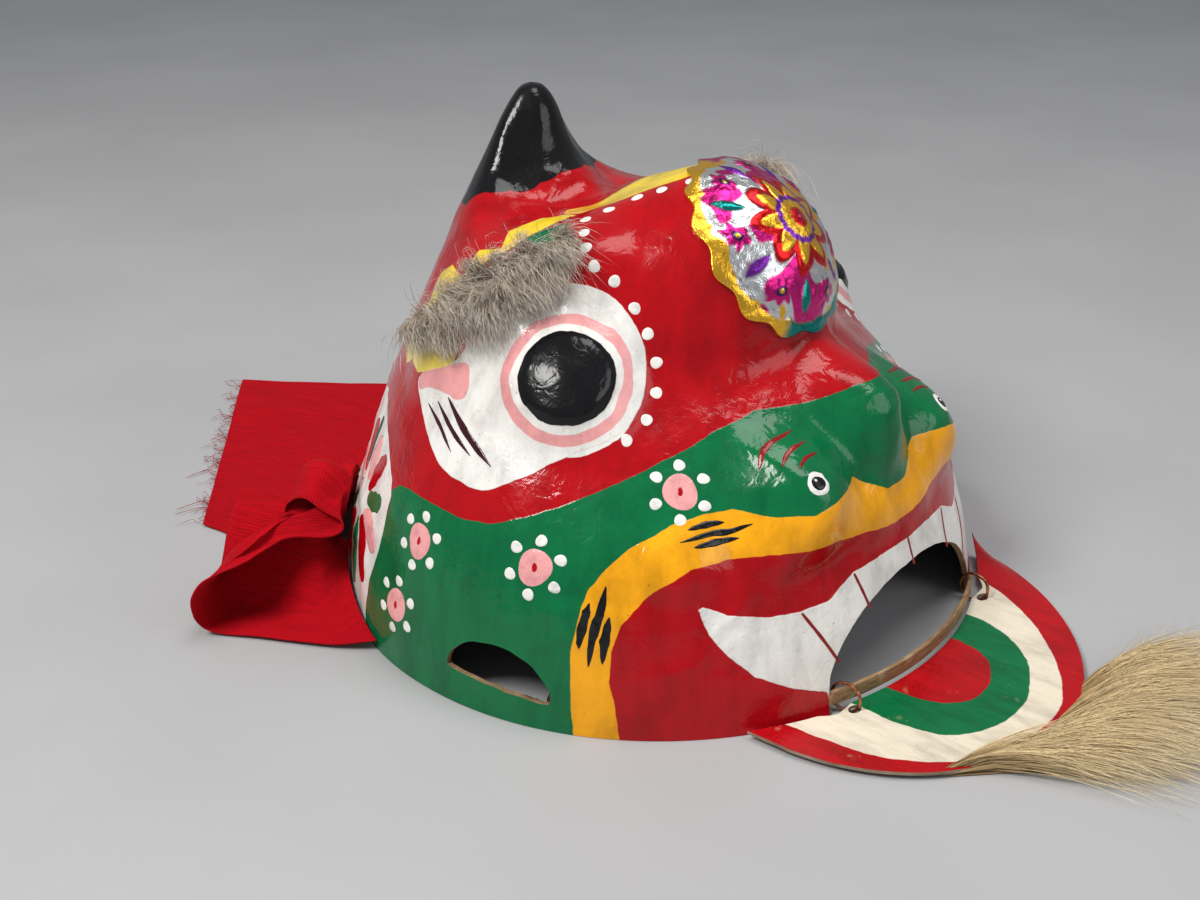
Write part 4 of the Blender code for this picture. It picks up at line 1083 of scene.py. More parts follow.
@dataclass
class PaintedMarks:
    """Dots, flowers and brush strokes that stand a little over the shell's paint."""

    form: HeadForm
    surface: Surface = field(default_factory=Surface.empty)
    lift: float = 0.00016
    crown: float = 0.00008
    sunk: float = 0.0002
    rings: int = 5
    sides: int = 28

    def raised(self, reach: np.ndarray, lift: float, shape: tuple) -> np.ndarray:
        """Heights of a mark that curls down to its edge, where reach is 1."""
        fall = self.crown + lift + self.sunk
        return np.broadcast_to(lift + self.crown - fall * np.abs(reach) ** 6, shape)

    def disc(self, centre: tuple, radii: tuple, paint: Paint, lift: float, seed: int) -> None:
        """A brushed disc with a slightly wavering edge.

        Args:
            centre: chart place in radians and rings.
            radii: half width and half height in metres.
            paint: its colour.
            lift: height over the face.
            seed: picks the edge's waver.
        """
        turn = np.linspace(0, 2 * math.pi, self.sides, endpoint=False)
        phase = np.random.default_rng(seed).uniform(0, 2 * math.pi, 3)
        waver = 1 + 0.05 * np.sin(2 * turn + phase[0]) + 0.04 * np.sin(3 * turn + phase[1])
        share = np.linspace(0, 1, self.rings + 1)[1:, None] * waver
        angle, ring = np.full(share.shape, centre[0]), np.full(share.shape, centre[1])
        side, high = self.form.directions(*centre)
        shift = (
            side * (share * np.cos(turn) * radii[0])[..., None]
            + high * (share * np.sin(turn) * radii[1])[..., None]
        )
        angle, ring = self.form.moved(angle, ring, shift)
        height = self.raised(np.linspace(0, 1, self.rings + 1)[1:, None], lift, ring.shape)
        points = self.form.face(angle, ring, height).reshape(-1, 3)
        middle = self.form.face(*(np.array(value) for value in (*centre, lift + self.crown)))
        points = np.concatenate([points, middle[None]])
        faces = split(grid_quads(self.rings, self.sides, closed=True)[:, ::-1])
        faces = np.concatenate([faces, fan(self.sides, len(points) - 1)])
        self.surface.add(points, faces, paint=np.tile(paint.value, (len(points), 1)))

    def stroke(self, line: tuple, width: float, taper: float, paint: Paint, lift: float,
               side: float) -> None:
        """A brush stroke along a line of chart places.

        Args:
            line: degrees and rings.
            width: full width at the middle.
            taper: share of the width left at the ends.
            paint: its colour.
            lift: height over the face.
            side: 1 as given, -1 mirrored.
        """
        chart = along_line(np.array(line) * np.array([side * math.pi / 180, 1]), 8 * len(line))
        share = np.linspace(-1, 1, len(chart))
        power = 0.5 if taper > 0.2 else 0.85
        half = width / 2 * (taper + (1 - taper) * np.clip(1 - share**2, 0, 1) ** power)
        half *= 1 + 0.08 * np.sin(share * 9 + width * 4000)
        points = self.form.smooth(chart[:, 0], chart[:, 1])
        normal = self.form.normal(chart[:, 0], chart[:, 1])
        across = unit(np.cross(normal, np.gradient(points, axis=0)))
        steps = np.linspace(-1, 1, 7)
        shift = across[:, None] * (half[:, None] * steps)[..., None]
        angle = np.broadcast_to(chart[:, :1], shift.shape[:2])
        ring = np.broadcast_to(chart[:, 1:], shift.shape[:2])
        angle, ring = self.form.moved(angle, ring, shift)
        points = self.form.face(angle, ring, self.raised(steps, lift, ring.shape))
        quads = grid_quads(len(chart), len(steps))
        colours = np.tile(paint.value, (points.size // 3, 1))
        self.surface.add(points.reshape(-1, 3), split(quads[:, ::-1]), paint=colours)

    def flower(self, centre: tuple, side: float, seed: int) -> None:
        """A pink disc with a small red eye inside six white dots."""
        at = (math.radians(centre[0]) * side, centre[1])
        self.disc(at, (FLOWER_RADIUS, FLOWER_RADIUS), Paint.PINK, self.lift, seed)
        self.disc(at, (0.0015, 0.0026), Paint.RED, 1.8 * self.lift, seed + 1)
        across, high = self.form.directions(*at)
        turn = (np.arange(FLOWER_DOTS) + 0.42) * 2 * math.pi / FLOWER_DOTS
        shift = FLOWER_DOT_REACH * (across * np.cos(turn)[:, None] + high * np.sin(turn)[:, None])
        start = (np.full(FLOWER_DOTS, at[0]), np.full(FLOWER_DOTS, at[1]))
        radii = (DOT_RADIUS, DOT_RADIUS * 0.92)
        for own_seed, spot in enumerate(zip(*self.form.moved(*start, shift)), seed + 2):
            self.disc(spot, radii, Paint.WHITE, 1.2 * self.lift, own_seed)

    def build(self) -> bpy.types.Object:
        """All the marks of both sides in one piece."""
        for side in (1.0, -1.0):
            for index, spot in enumerate(BROW_DOTS):
                seed = 100 + index
                at = (math.radians(spot[0]) * side, spot[1])
                self.disc(at, (DOT_RADIUS, DOT_RADIUS), Paint.WHITE, self.lift, seed)
            for index, spot in enumerate(FLOWERS):
                self.flower(spot, side, 200 + 20 * index)
            for spot in NOSTRIL_EYES:
                at = (math.radians(spot[0]) * side, spot[1])
                self.disc(at, (0.0054, 0.0057), Paint.WHITE, self.lift, 300)
                self.disc(at, (0.0036, 0.0037), Paint.BLACK, 2.4 * self.lift, 301)
                # A painted highlight: a small white dot for the glint of the light on the glossy
                # black eye
                glint = (at[0] - 0.004, at[1] + 0.05)
                self.disc(glint, (0.0008, 0.0008), Paint.WHITE, 3.8 * self.lift, 302)
            for index, (paint, width, taper, line) in enumerate(STROKES.values()):
                self.stroke(line, width, taper, paint, self.lift * (1 + 0.03 * index), side)
        for paint, width, taper, line in MIDLINE_STROKES.values():
            self.stroke(line, width, taper, paint, self.lift, 1.0)
        made = self.surface.build("painted_marks", [MarkPaint().make()])
        return place(made, "head", "lacquered_paper")


@dataclass
class ForeheadFoil:
    """The embossed and printed foil plaque: a rosette among leaves and round blossoms."""

    form: HeadForm
    rows: int = 96
    columns: int = 336
    half_angle: float = math.radians(17.0)
    half_rings: float = 1.95
    ring: float = 8.20
    scallops: int = 14
    scallop_depth: float = 0.035
    lift: float = 0.0020
    petals: int = 9
    blossoms: int = 7
    blossom_reach: float = 0.70
    silver = (0.66, 0.67, 0.68)
    gold = (0.90, 0.50, 0.04)
    scarlet = (0.62, 0.012, 0.015)
    magenta = (0.60, 0.015, 0.20)
    navy = (0.010, 0.015, 0.12)
    teal = (0.006, 0.22, 0.20)
    violet = (0.20, 0.03, 0.36)
    hole = (0.02, 0.02, 0.02)

    def design(self, reach: np.ndarray, turn: np.ndarray) -> tuple:
        """Colour and embossed height of the plaque.

        Args:
            reach: share of the way to the edge.
            turn: radians round the middle.

        Returns:
            Colours (..., 3) and heights in metres.
        """
        colour = np.broadcast_to(np.array(self.silver), reach.shape + (3,)).copy()
        height = np.zeros(reach.shape)

        def print_on(inside: np.ndarray, paint: tuple, rise: float, soft: float = 0.02) -> None:
            """Prints a colour and lifts the foil where a distance is positive."""
            share = smooth_step(-soft / 2, soft / 2, inside)
            colour[:] = colour * (1 - share[..., None]) + np.array(paint) * share[..., None]
            height[:] += rise * smooth_step(-0.02, 0.05, inside)

        place_x, place_y = reach * np.cos(turn), reach * np.sin(turn)
        fold = saw(turn, self.petals)
        wash = value_noise(np.stack([place_x, place_y, 0 * reach], axis=-1), 0.23, 34)
        print_on((wash - 0.34) * 0.2, self.gold, 0.0)
        print_on((-0.42 - wash) * 0.2, self.magenta, 0.0)
        print_on(0.50 - 0.16 * fold**1.6 - reach, self.scarlet, 0.0005)
        print_on(0.40 - 0.20 * fold**1.3 - reach, self.gold, 0.0004)
        print_on(0.22 - reach, self.violet, 0.0003)
        print_on(0.17 - reach, self.gold, 0.0005)
        print_on(0.09 - reach, self.scarlet, 0.0003)
        for index in range(self.blossoms):
            at = (index + 0.3) * 2 * math.pi / self.blossoms
            dx = place_x - self.blossom_reach * math.cos(at)
            dy = place_y - self.blossom_reach * math.sin(at)
            away, round_it = np.hypot(dx, dy), np.arctan2(dy, dx)
            print_on(0.115 + 0.022 * np.cos(6 * round_it + index) - away, self.magenta, 0.0006)
            print_on(0.050 - away, self.navy, 0.0004)
            print_on(0.022 - away, self.gold, 0.0002)
            leaf = at + math.pi / self.blossoms
            dx = place_x - 0.68 * math.cos(leaf)
            dy = place_y - 0.68 * math.sin(leaf)
            along = dx * math.cos(leaf) + dy * math.sin(leaf)
            aside = dy * math.cos(leaf) - dx * math.sin(leaf)
            width = 0.060 * np.clip(1 - (along / 0.17) ** 2, 0, 1)
            print_on(width - np.abs(aside) - 0.004, self.teal if index % 2 else self.violet, 0.0006)
        border = reach - 0.93 + 0.11 * saw(turn, self.scallops, 0.0) ** 1.5
        for paint, heading, spread in ((self.gold, 4.6, -0.1), (self.teal, 2.95, 0.80),
                                       (self.magenta, 0.4, 0.90)):
            print_on(np.minimum(border, (np.cos(turn - heading) - spread) * 0.25), paint, 0.0003)
        for count, at in ((40, 0.555), (64, 0.875)):
            step = saw(turn, count) * math.pi / count
            print_on(0.0075 - np.hypot(step * at, reach - at), self.hole, -0.0003, 0.008)
        return colour, height

    def build(self) -> bpy.types.Object:
        """The plaque with a turned-down edge."""
        turn = np.arange(self.columns) * 2 * math.pi / self.columns
        edge = 1 + self.scallop_depth * np.cos(self.scallops * turn)
        reach = np.concatenate([np.linspace(0.003, 1, self.rows), [1.0, 1.0]])[:, None]
        share = reach * edge
        angle = self.half_angle * share * np.sin(turn)
        ring = self.ring + self.half_rings * share * np.cos(turn)
        colour, height = self.design(*np.broadcast_arrays(reach, turn))
        flat = self.form.smooth(angle, ring)
        crinkle = value_noise(flat, 0.008, 31) * 0.00060 + value_noise(flat, 0.0032, 32) * 0.00024
        height = self.lift + height + crinkle
        lifted = value_noise(flat, 0.03, 33) * 0.0008 * smooth_step(0.8, 1.0, reach)
        height = height + np.maximum(lifted, 0)
        height[-2] -= 0.0006
        height[-1] = 0.0004
        points = flat + self.form.normal(angle, ring) * height[..., None] + self.form.root
        surface = Surface.empty()
        middle = points[0].mean(axis=0)
        quads = grid_quads(len(reach), self.columns, closed=True)[:, ::-1]
        # Seen from outside, the columns run clockwise: angle grows to the right as the sine.
        centre = fan(self.columns, len(reach) * self.columns)[:, [0, 2, 1]]
        every = np.concatenate([points.reshape(-1, 3), middle[None]])
        colours = np.concatenate([colour.reshape(-1, 3), colour[0, :1]])
        surface.add(every, np.concatenate([split(quads)[:, ::-1], centre]), printed=colours)
        made = surface.build("foil_plaque", [self.finish()])
        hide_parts("forehead_foil")
        return place(made, "head", "foil")

    @staticmethod
    def finish() -> bpy.types.Material:
        """Printed aluminium foil with a fine hatch and creases."""
        s = Shader("printed_foil")
        printed = s.attribute("printed", "Color")
        creases = s.node("TexVoronoi", 0, {"Vector": s.place(), "Scale": 150.0},
                         feature="DISTANCE_TO_EDGE")
        hatch = s.noise(1400, 1, 0.5)
        height = s.math("ADD", s.math("MULTIPLY", creases, 0.7), s.math("MULTIPLY", hatch, 0.25))
        worn = s.between(s.noise(60, 5, 0.65), 0.58, 0.72, 0.0, 0.35)
        colour = s.mix(worn, printed, (0.45, 0.42, 0.36))
        return s.finish(base_color=colour, metallic=0.86, roughness=0.24,
                        normal=s.bump(height, 0.0006))


@dataclass(frozen=True)
class HairFinish:
    """Hair coloured by its own shade and by how far along it is."""

    name: str
    root: tuple
    middle: tuple
    tip: tuple
    roughness: float = 0.55

    def make(self) -> bpy.types.Material:
        """Dark roots, lighter tips and a random shade for each hair; the dark roots are partly
        painted shade deep in the pile.
        """
        s = Shader(self.name)
        along = s.attribute("along")
        # Darker towards the roots: partly the fibres' own colour, partly painted shade where the
        # hairs cover one another
        colour = s.mix(s.between(along, 0.0, 0.45), self.root, self.middle)
        colour = s.mix(s.between(along, 0.45, 1.0), colour, self.tip)
        shade = s.between(s.attribute("shade"), 0.0, 1.0, 0.0, 0.72)
        colour = s.mix(shade, colour, (0.38, 0.34, 0.30), "MULTIPLY")
        return s.finish(base_color=colour, roughness=self.roughness, sheen_weight=0.15)


@dataclass
class BrowFur:
    """A strip of rabbit fur along one brow: a dark core under thousands of clumped hairs."""

    name: str  # the solid it stands for
    side: float  # -1 for the lion's right
    form: HeadForm
    hairs: int = 7000
    places: int = 6
    tufts: int = 130
    radius: float = 0.00012
    length: tuple = (0.007, 0.017)
    angles: tuple = (math.radians(76.0), math.radians(39.5))
    rings: tuple = (6.00, 8.62)
    half_width: float = 0.47
    loft: float = 0.0115
    guard_share: float = 0.07

    def spot(self, run: np.ndarray, across: np.ndarray) -> tuple:
        """Chart place of a share along the strip and a share across it."""
        angle = self.side * (self.angles[0] + (self.angles[1] - self.angles[0]) * run)
        taper = np.clip(1 - (2 * run - 1) ** 2, 0.03, 1) ** 0.85
        ring = self.rings[0] + (self.rings[1] - self.rings[0]) * run
        return angle, ring + across * self.half_width * taper

    def core(self, surface: Surface) -> None:
        """The hide and underfur that the hairs stand in."""
        run, across = np.linspace(0, 1, 60), np.linspace(-1, 1, 22)[:, None]
        angle, ring = self.spot(run, across)
        angle = np.broadcast_to(angle, ring.shape)
        dome = np.clip(1 - across**2, 0, 1) ** 0.5 * np.clip(1 - (2 * run - 1) ** 4, 0, 1) ** 0.5
        flat = self.form.smooth(angle, ring)
        height = 0.0006 + dome * (0.0034 + 0.0014 * value_noise(flat, 0.007, 41))
        points = self.form.face(angle, ring, height)
        quads = grid_quads(*ring.shape)
        count = points.size // 3
        # Painted shade: the core takes the darkest root colour and a high shade value, for the
        # shade under the hairs
        surface.add(points.reshape(-1, 3), quads[:, ::-1] if self.side > 0 else quads, 0,
                    along=np.full(count, 0.05), shade=np.full(count, 0.8))

    def build(self) -> bpy.types.Object:
        """Grows the hairs along the face so that none goes through it."""
        rng = np.random.default_rng(51 if self.side < 0 else 52)
        surface = Surface.empty()
        self.core(surface)
        run = rng.uniform(0.0, 1.0, self.hairs)
        across = np.clip(rng.normal(0, 0.55, self.hairs), -1, 1)
        tuft_run, tuft_across = rng.uniform(0, 1, self.tufts), rng.uniform(-1, 1, self.tufts)
        gap = (run[:, None] - tuft_run) ** 2 * 7 + (across[:, None] - tuft_across) ** 2 * 0.5
        own = gap.argmin(axis=1)
        lean = -78 + 150 * smooth_step(-0.2, 0.9, tuft_across)
        lean = np.radians(lean + rng.normal(0, 48, self.tufts))
        reach = rng.uniform(*self.length, self.tufts)
        loft = self.loft * rng.uniform(0.45, 1.15, self.tufts)
        lean = lean[own] + rng.normal(0, 0.30, self.hairs)
        reach = reach[own] * rng.uniform(0.7, 1.08, self.hairs)
        reach = reach * (0.7 + 0.5 * np.sin(math.pi * run))
        guard = rng.uniform(0, 1, self.hairs) < self.guard_share
        reach = np.where(guard, rng.uniform(0.013, 0.024, self.hairs), reach)
        lean = np.where(guard, lean + rng.normal(0, 0.6, self.hairs), lean)
        loft = loft[own] * rng.uniform(0.6, 1.35, self.hairs) * (1 - 0.35 * across**2)
        loft = np.where(guard, loft * 1.5, loft)
        angle, ring = self.spot(run, across)
        tip_angle, tip_ring = self.spot(tuft_run, tuft_across)
        along, up = self.form.slopes_at(angle, ring)
        wide, tall = np.linalg.norm(along, axis=-1), np.linalg.norm(up, axis=-1)
        share = np.linspace(0, 1, self.places)[None, :]
        travel = reach[:, None] * (0.35 * share + 0.65 * share**1.5)
        # Hairs of one tuft draw together towards their tips.
        clump = 0.62 * share**1.3
        sway = rng.normal(0, 0.0016, (self.hairs, 1))
        sway = sway * np.sin(share * 3.5 + rng.uniform(0, 6, (self.hairs, 1)))
        turn = self.side * (np.cos(lean) * -1)[:, None]
        start_angle = angle[:, None] * (1 - clump) + tip_angle[own][:, None] * clump
        start_ring = ring[:, None] * (1 - clump) + tip_ring[own][:, None] * clump
        path_angle = start_angle + (travel * turn + sway) / wide[:, None]
        path_ring = start_ring + travel * np.sin(lean)[:, None] / tall[:, None]
        height = 0.0015 + loft[:, None] * np.sin(np.minimum(share * 2.1, 1.9 - 0.25 * share))
        height = height * (1 - 0.25 * share**2) + rng.normal(0, 0.0006, (self.hairs, 1)) * share
        height = np.maximum(height, 0.0012)
        normal = self.form.normal(path_angle, path_ring)
        points = self.form.smooth(path_angle, path_ring) + normal * height[..., None]
        points = points + self.form.root
        points[..., 2] -= 0.004 * share**2
        radii = self.radius * (1 - 0.75 * share**2) * rng.uniform(0.75, 1.3, (self.hairs, 1))
        surface.add_strands(points, radii, rng.uniform(0, 1, self.hairs))
        finish = HairFinish("rabbit_fur", (0.12, 0.09, 0.065), (0.56, 0.47, 0.37),
                            (0.95, 0.88, 0.78))
        made = surface.build(self.name + "_hair", [finish.make()])
        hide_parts(self.name)
        return place(made, "head", "fur")


@dataclass
class MouthHoop:
    """The cane hoop across the mouth."""

    form: HeadForm
    thick: float = 0.0023
    height: float = 0.0072
    sill: float = 0.0046
    half_width: float = 0.0665
    spring: float = 0.004
    arch_rise: float = 0.0445
    gap: float = 0.0003

    @staticmethod
    def rim_y(x: np.ndarray) -> np.ndarray:
        """The rim's outer face ahead of its widest place."""
        share = 1 - (np.abs(np.asarray(x, float)) / HALF_WIDTH) ** RIM_ROUND[0]
        return -WIDEST_AHEAD - (FRONT_REACH - WIDEST_AHEAD) * share ** (1 / RIM_ROUND[0])

    def build(self) -> bpy.types.Object:
        """A split cane of rounded section, swept along the rim between the arch's feet."""
        turn = np.linspace(0, 2 * math.pi, 24, endpoint=False)
        deep = np.sign(np.cos(turn)) * np.abs(np.cos(turn)) ** 0.45 * self.thick / 2
        tall = np.sign(np.sin(turn)) * np.abs(np.sin(turn)) ** 0.35 * self.height / 2
        z = self.sill + self.height / 2 + tall
        rise = np.maximum(z - self.spring, 0) / self.arch_rise
        end = self.half_width * np.sqrt(1 - rise**2) - self.gap
        x = np.linspace(-1, 1, 180)[:, None] * end
        y = self.rim_y(x) + self.thick / 2 + deep
        points = np.stack([x, y, np.broadcast_to(z, x.shape)], axis=-1)
        rough = value_noise(points * np.array([0.25, 1, 2.5]), 0.0035, 61)[..., None] * 0.00016
        away = np.stack(np.broadcast_arrays(0 * x, deep, tall), axis=-1)
        points = points + unit(away) * (rough - 0.0001) + self.form.root
        surface = Surface.empty()
        rows, columns = points.shape[:2]
        surface.add(points.reshape(-1, 3), grid_quads(rows, columns, closed=True))
        for row, order in ((0, 1), (rows - 1, -1)):
            centre = points[row].mean(axis=0)
            surface.add(np.concatenate([points[row], centre[None]]),
                        fan(columns, columns)[:, ::-order])
        made = surface.build("cane_hoop", [self.finish()])
        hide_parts("mouth_strip")
        return place(made, "head", "cane")

    @staticmethod
    def finish() -> bpy.types.Material:
        """Split cane with fibres along it and dark scuffs."""
        s = Shader("split_cane")
        fibre = s.noise(900, 5, 0.65, vector=s.stretched(0.10, 0.4, 1.0))
        colour = s.mix(s.between(fibre, 0.35, 0.68), (0.36, 0.22, 0.105), (0.20, 0.10, 0.042))
        scuff = s.between(s.noise(140, 5, 0.6), 0.56, 0.70, 0.0, 0.75)
        colour = s.mix(scuff, colour, (0.42, 0.30, 0.17))
        return s.finish(base_color=colour, roughness=0.55, normal=s.bump(fibre, 0.0006))


@dataclass
class CopperRing:
    """A hand-bent ring of copper wire."""

    wire: float = 0.0015
    radius: float = 0.0070
    rows: int = 120
    columns: int = 14

    def build(self, node: str, seed: int) -> bpy.types.Object:
        """A slightly uneven torus in the place of its solid.

        Args:
            node: the solid.
            seed: picks how the wire is bent.

        Returns:
            The finished piece.
        """
        low, high = (np.array(corner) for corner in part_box(node))
        centre = (low + high) / 2
        rng = np.random.default_rng(seed)
        turn = np.linspace(0, 2 * math.pi, self.rows, endpoint=False)[:, None]
        round_it = np.linspace(0, 2 * math.pi, self.columns, endpoint=False)
        uneven = 0.00012 * np.sin(2 * turn + rng.uniform(0, 6))
        uneven = uneven + 0.00008 * np.sin(5 * turn + rng.uniform(0, 6))
        reach = self.radius + uneven + self.wire / 2 * np.cos(round_it)
        points = np.stack(np.broadcast_arrays(self.wire / 2 * np.sin(round_it),
                                              reach * np.cos(turn), reach * np.sin(turn)), axis=-1)
        surface = Surface.empty()
        quads = grid_quads(self.rows, self.columns, closed=True)
        ring = np.concatenate([quads, self.closing(self.rows, self.columns)])[:, ::-1]
        surface.add((points + centre).reshape(-1, 3), ring)
        made = surface.build(node.replace("wire", "copper"), [self.finish()])
        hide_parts(node)
        return place(made, "jaw", "copper_wire")

    @staticmethod
    def closing(rows: int, columns: int) -> np.ndarray:
        """Quads that join the last row to the first."""
        here = np.arange(columns)
        beside = (here + 1) % columns
        last = (rows - 1) * columns
        return np.stack([last + here, last + beside, beside, here], axis=-1)

    @staticmethod
    def finish() -> bpy.types.Material:
        """Copper with brown tarnish."""
        s = Shader("tarnished_copper")
        tarnish = s.between(s.noise(400, 4, 0.6), 0.42, 0.62)
        colour = s.mix(tarnish, (0.52, 0.20, 0.09), (0.16, 0.055, 0.03))
        rough = s.between(tarnish, 0.0, 1.0, 0.28, 0.55)
        return s.finish(base_color=colour, metallic=0.9, roughness=rough,
                        normal=s.bump(tarnish, 0.0001))


@dataclass
class JawFlap:
    """The painted card jaw with its bands and two ring holes."""

    form: HeadForm
    thick: float = 0.0015
    half_width: float = 0.104
    reach: float = 0.102
    swing_gap: float = 0.0011
    ear_gap: float = 0.003
    round_right: float = 2.5
    round_left: float = 1.6
    blunt: float = 0.992
    lift: float = 0.00295
    curl: float = 0.010
    curl_from: float = 0.55
    ring_side: float = 0.0610
    ring_ahead: float = 0.0016
    ring_radius: float = 0.0070
    hinge_height: float = 0.0081
    hole: tuple = (0.0036, 0.0026)
    hole_land: float = 0.0010
    rows: int = 90
    columns: int = 170
    # Outlines of the painted bands on the card, in millimetres of the work frame
    bands = {
        "cream_band": ((-89, -200), (-89, -217), (-88, -235), (-85, -255), (-77, -271), (-67, -283),
                       (-48, -294), (-25, -300), (-6, -300), (13, -293), (34, -279), (55, -259),
                       (69, -238), (75, -219), (76, -200)),
        "green_band": ((-58, -200), (-58, -230), (-59, -246), (-57, -262), (-52, -273), (-42, -281),
                       (-27, -286), (-9, -286), (6, -281), (23, -271), (35, -257), (41, -243),
                       (42, -231), (42, -200)),
        "red_tongue": ((-37, -200), (-37, -237), (-36, -251), (-31, -261), (-23, -267), (-11, -268),
                       (0, -265), (11, -258), (16, -249), (18, -237), (18, -200)),
    }

    def __post_init__(self) -> None:
        """Works out the hinge and the holes."""
        self.hinge_y = float(MouthHoop.rim_y(self.ring_side)) - self.ring_ahead
        drop = self.hinge_height - self.lift
        self.hole_y = self.hinge_y - math.sqrt(self.ring_radius**2 - drop**2)

    def edges(self, x: np.ndarray) -> tuple:
        """The card's back and front edges."""
        rim = MouthHoop.rim_y(x)
        back = np.minimum(rim - self.swing_gap, self.hole_y + self.hole[1] + self.hole_land)
        wide = 2 * self.hole[0]
        ear = np.clip((np.abs(x) - self.ring_side - wide) / wide, 0, 1)
        back = back + ear * np.maximum(rim - self.ear_gap - back, 0)
        share = np.clip(np.abs(x) / self.half_width, 0, 1)
        power = np.where(x < 0, self.round_right, self.round_left)
        corner = float(MouthHoop.rim_y(self.half_width)) - self.ear_gap
        return back, corner - self.reach * (1 - share**power) ** (1 / power)

    def build(self) -> bpy.types.Object:
        """Both faces of the card with clipped holes and cut edges."""
        turn = np.linspace(-1, 1, self.columns)
        x = self.half_width * self.blunt * np.sin(turn * math.pi / 2)
        share = np.linspace(0, 1, self.rows)[:, None]
        back, front = self.edges(x)
        y = back + (front - back) * share
        curl = np.clip((x / self.half_width - self.curl_from) / (1 - self.curl_from), 0, 1) ** 2
        z = self.lift + self.curl * curl * (1 - share) ** 1.5
        points = np.stack(np.broadcast_arrays(x, y, z), axis=-1).reshape(-1, 3)
        triangles = split(grid_quads(self.rows, self.columns))[:, ::-1]
        for side in (-1, 1):
            outside = np.hypot((points[:, 0] - side * self.ring_side) / self.hole[0],
                               (points[:, 1] - self.hole_y) / self.hole[1]) - 1
            points, triangles = clipped(points, triangles, outside)
        wave = value_noise(points * np.array([1, 1, 0]), 0.035, 71) * 0.0003
        wave += value_noise(points * np.array([1, 1, 0]), 0.009, 72) * 0.00008
        bands = {}
        for name, outline in self.bands.items():
            corners = along_line(np.array(outline) / 1000, 80)
            inside = inside_distance(points[:, 0], points[:, 1], corners)
            bands["area_" + name] = np.clip(inside, -0.02, 0.02)
        half = np.array([0, 0, self.thick / 2])
        rise = np.stack([np.zeros_like(wave), np.zeros_like(wave), wave], axis=-1) + self.form.root
        top, bottom = points + half + rise, points - half + rise
        used, triangles = compact(np.arange(len(points)), triangles)
        top, bottom = top[used], bottom[used]
        bands = {name: values[used] for name, values in bands.items()}
        surface = Surface.empty()
        surface.add(top, triangles, 0, **bands)
        surface.add(bottom, triangles[:, ::-1], 1)
        surface.add_rim(top, bottom, triangles, 1)
        card = BarePaper("grey_card", (0.34, 0.27, 0.19), (0.20, 0.14, 0.09))
        made = surface.build("painted_jaw", [self.finish(), card.make()])
        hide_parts("jaw_flap")
        return place(made, "jaw", "painted_card")

    @staticmethod
    def finish() -> bpy.types.Material:
        """Satin paint in bands: red, cream, green, and a red tongue."""
        s = Shader("painted_card")
        waver = s.math("MULTIPLY", s.math("SUBTRACT", s.noise(150, 2), 0.5), 0.0016)
        relief = s.math("MULTIPLY", s.noise(300, 3, 0.55), 0.3)
        areas = {"cream_band": Paint.CREAM, "green_band": Paint.GREEN, "red_tongue": Paint.RED}
        colour, relief = s.layers(areas, Paint.RED.value, relief, waver, 0.00025, 0.08)
        streaks = s.noise(120, 5, 0.62, vector=s.stretched(1.0, 0.25, 1.0))
        streaks = s.between(streaks, 0.35, 0.75, 0.0, 0.35)
        colour = s.mix(streaks, colour, (0.03, 0.0, 0.0), "MULTIPLY")
        worn = s.between(s.noise(75, 6, 0.68), 0.62, 0.70, 0.0, 0.30)
        colour = s.mix(worn, colour, (0.45, 0.33, 0.20))
        rough = s.between(s.noise(40, 4), 0.35, 0.7, 0.26, 0.42)
        return s.finish(base_color=colour, roughness=rough, normal=s.bump(relief, 0.0009),
                        specular_ior_level=0.30)


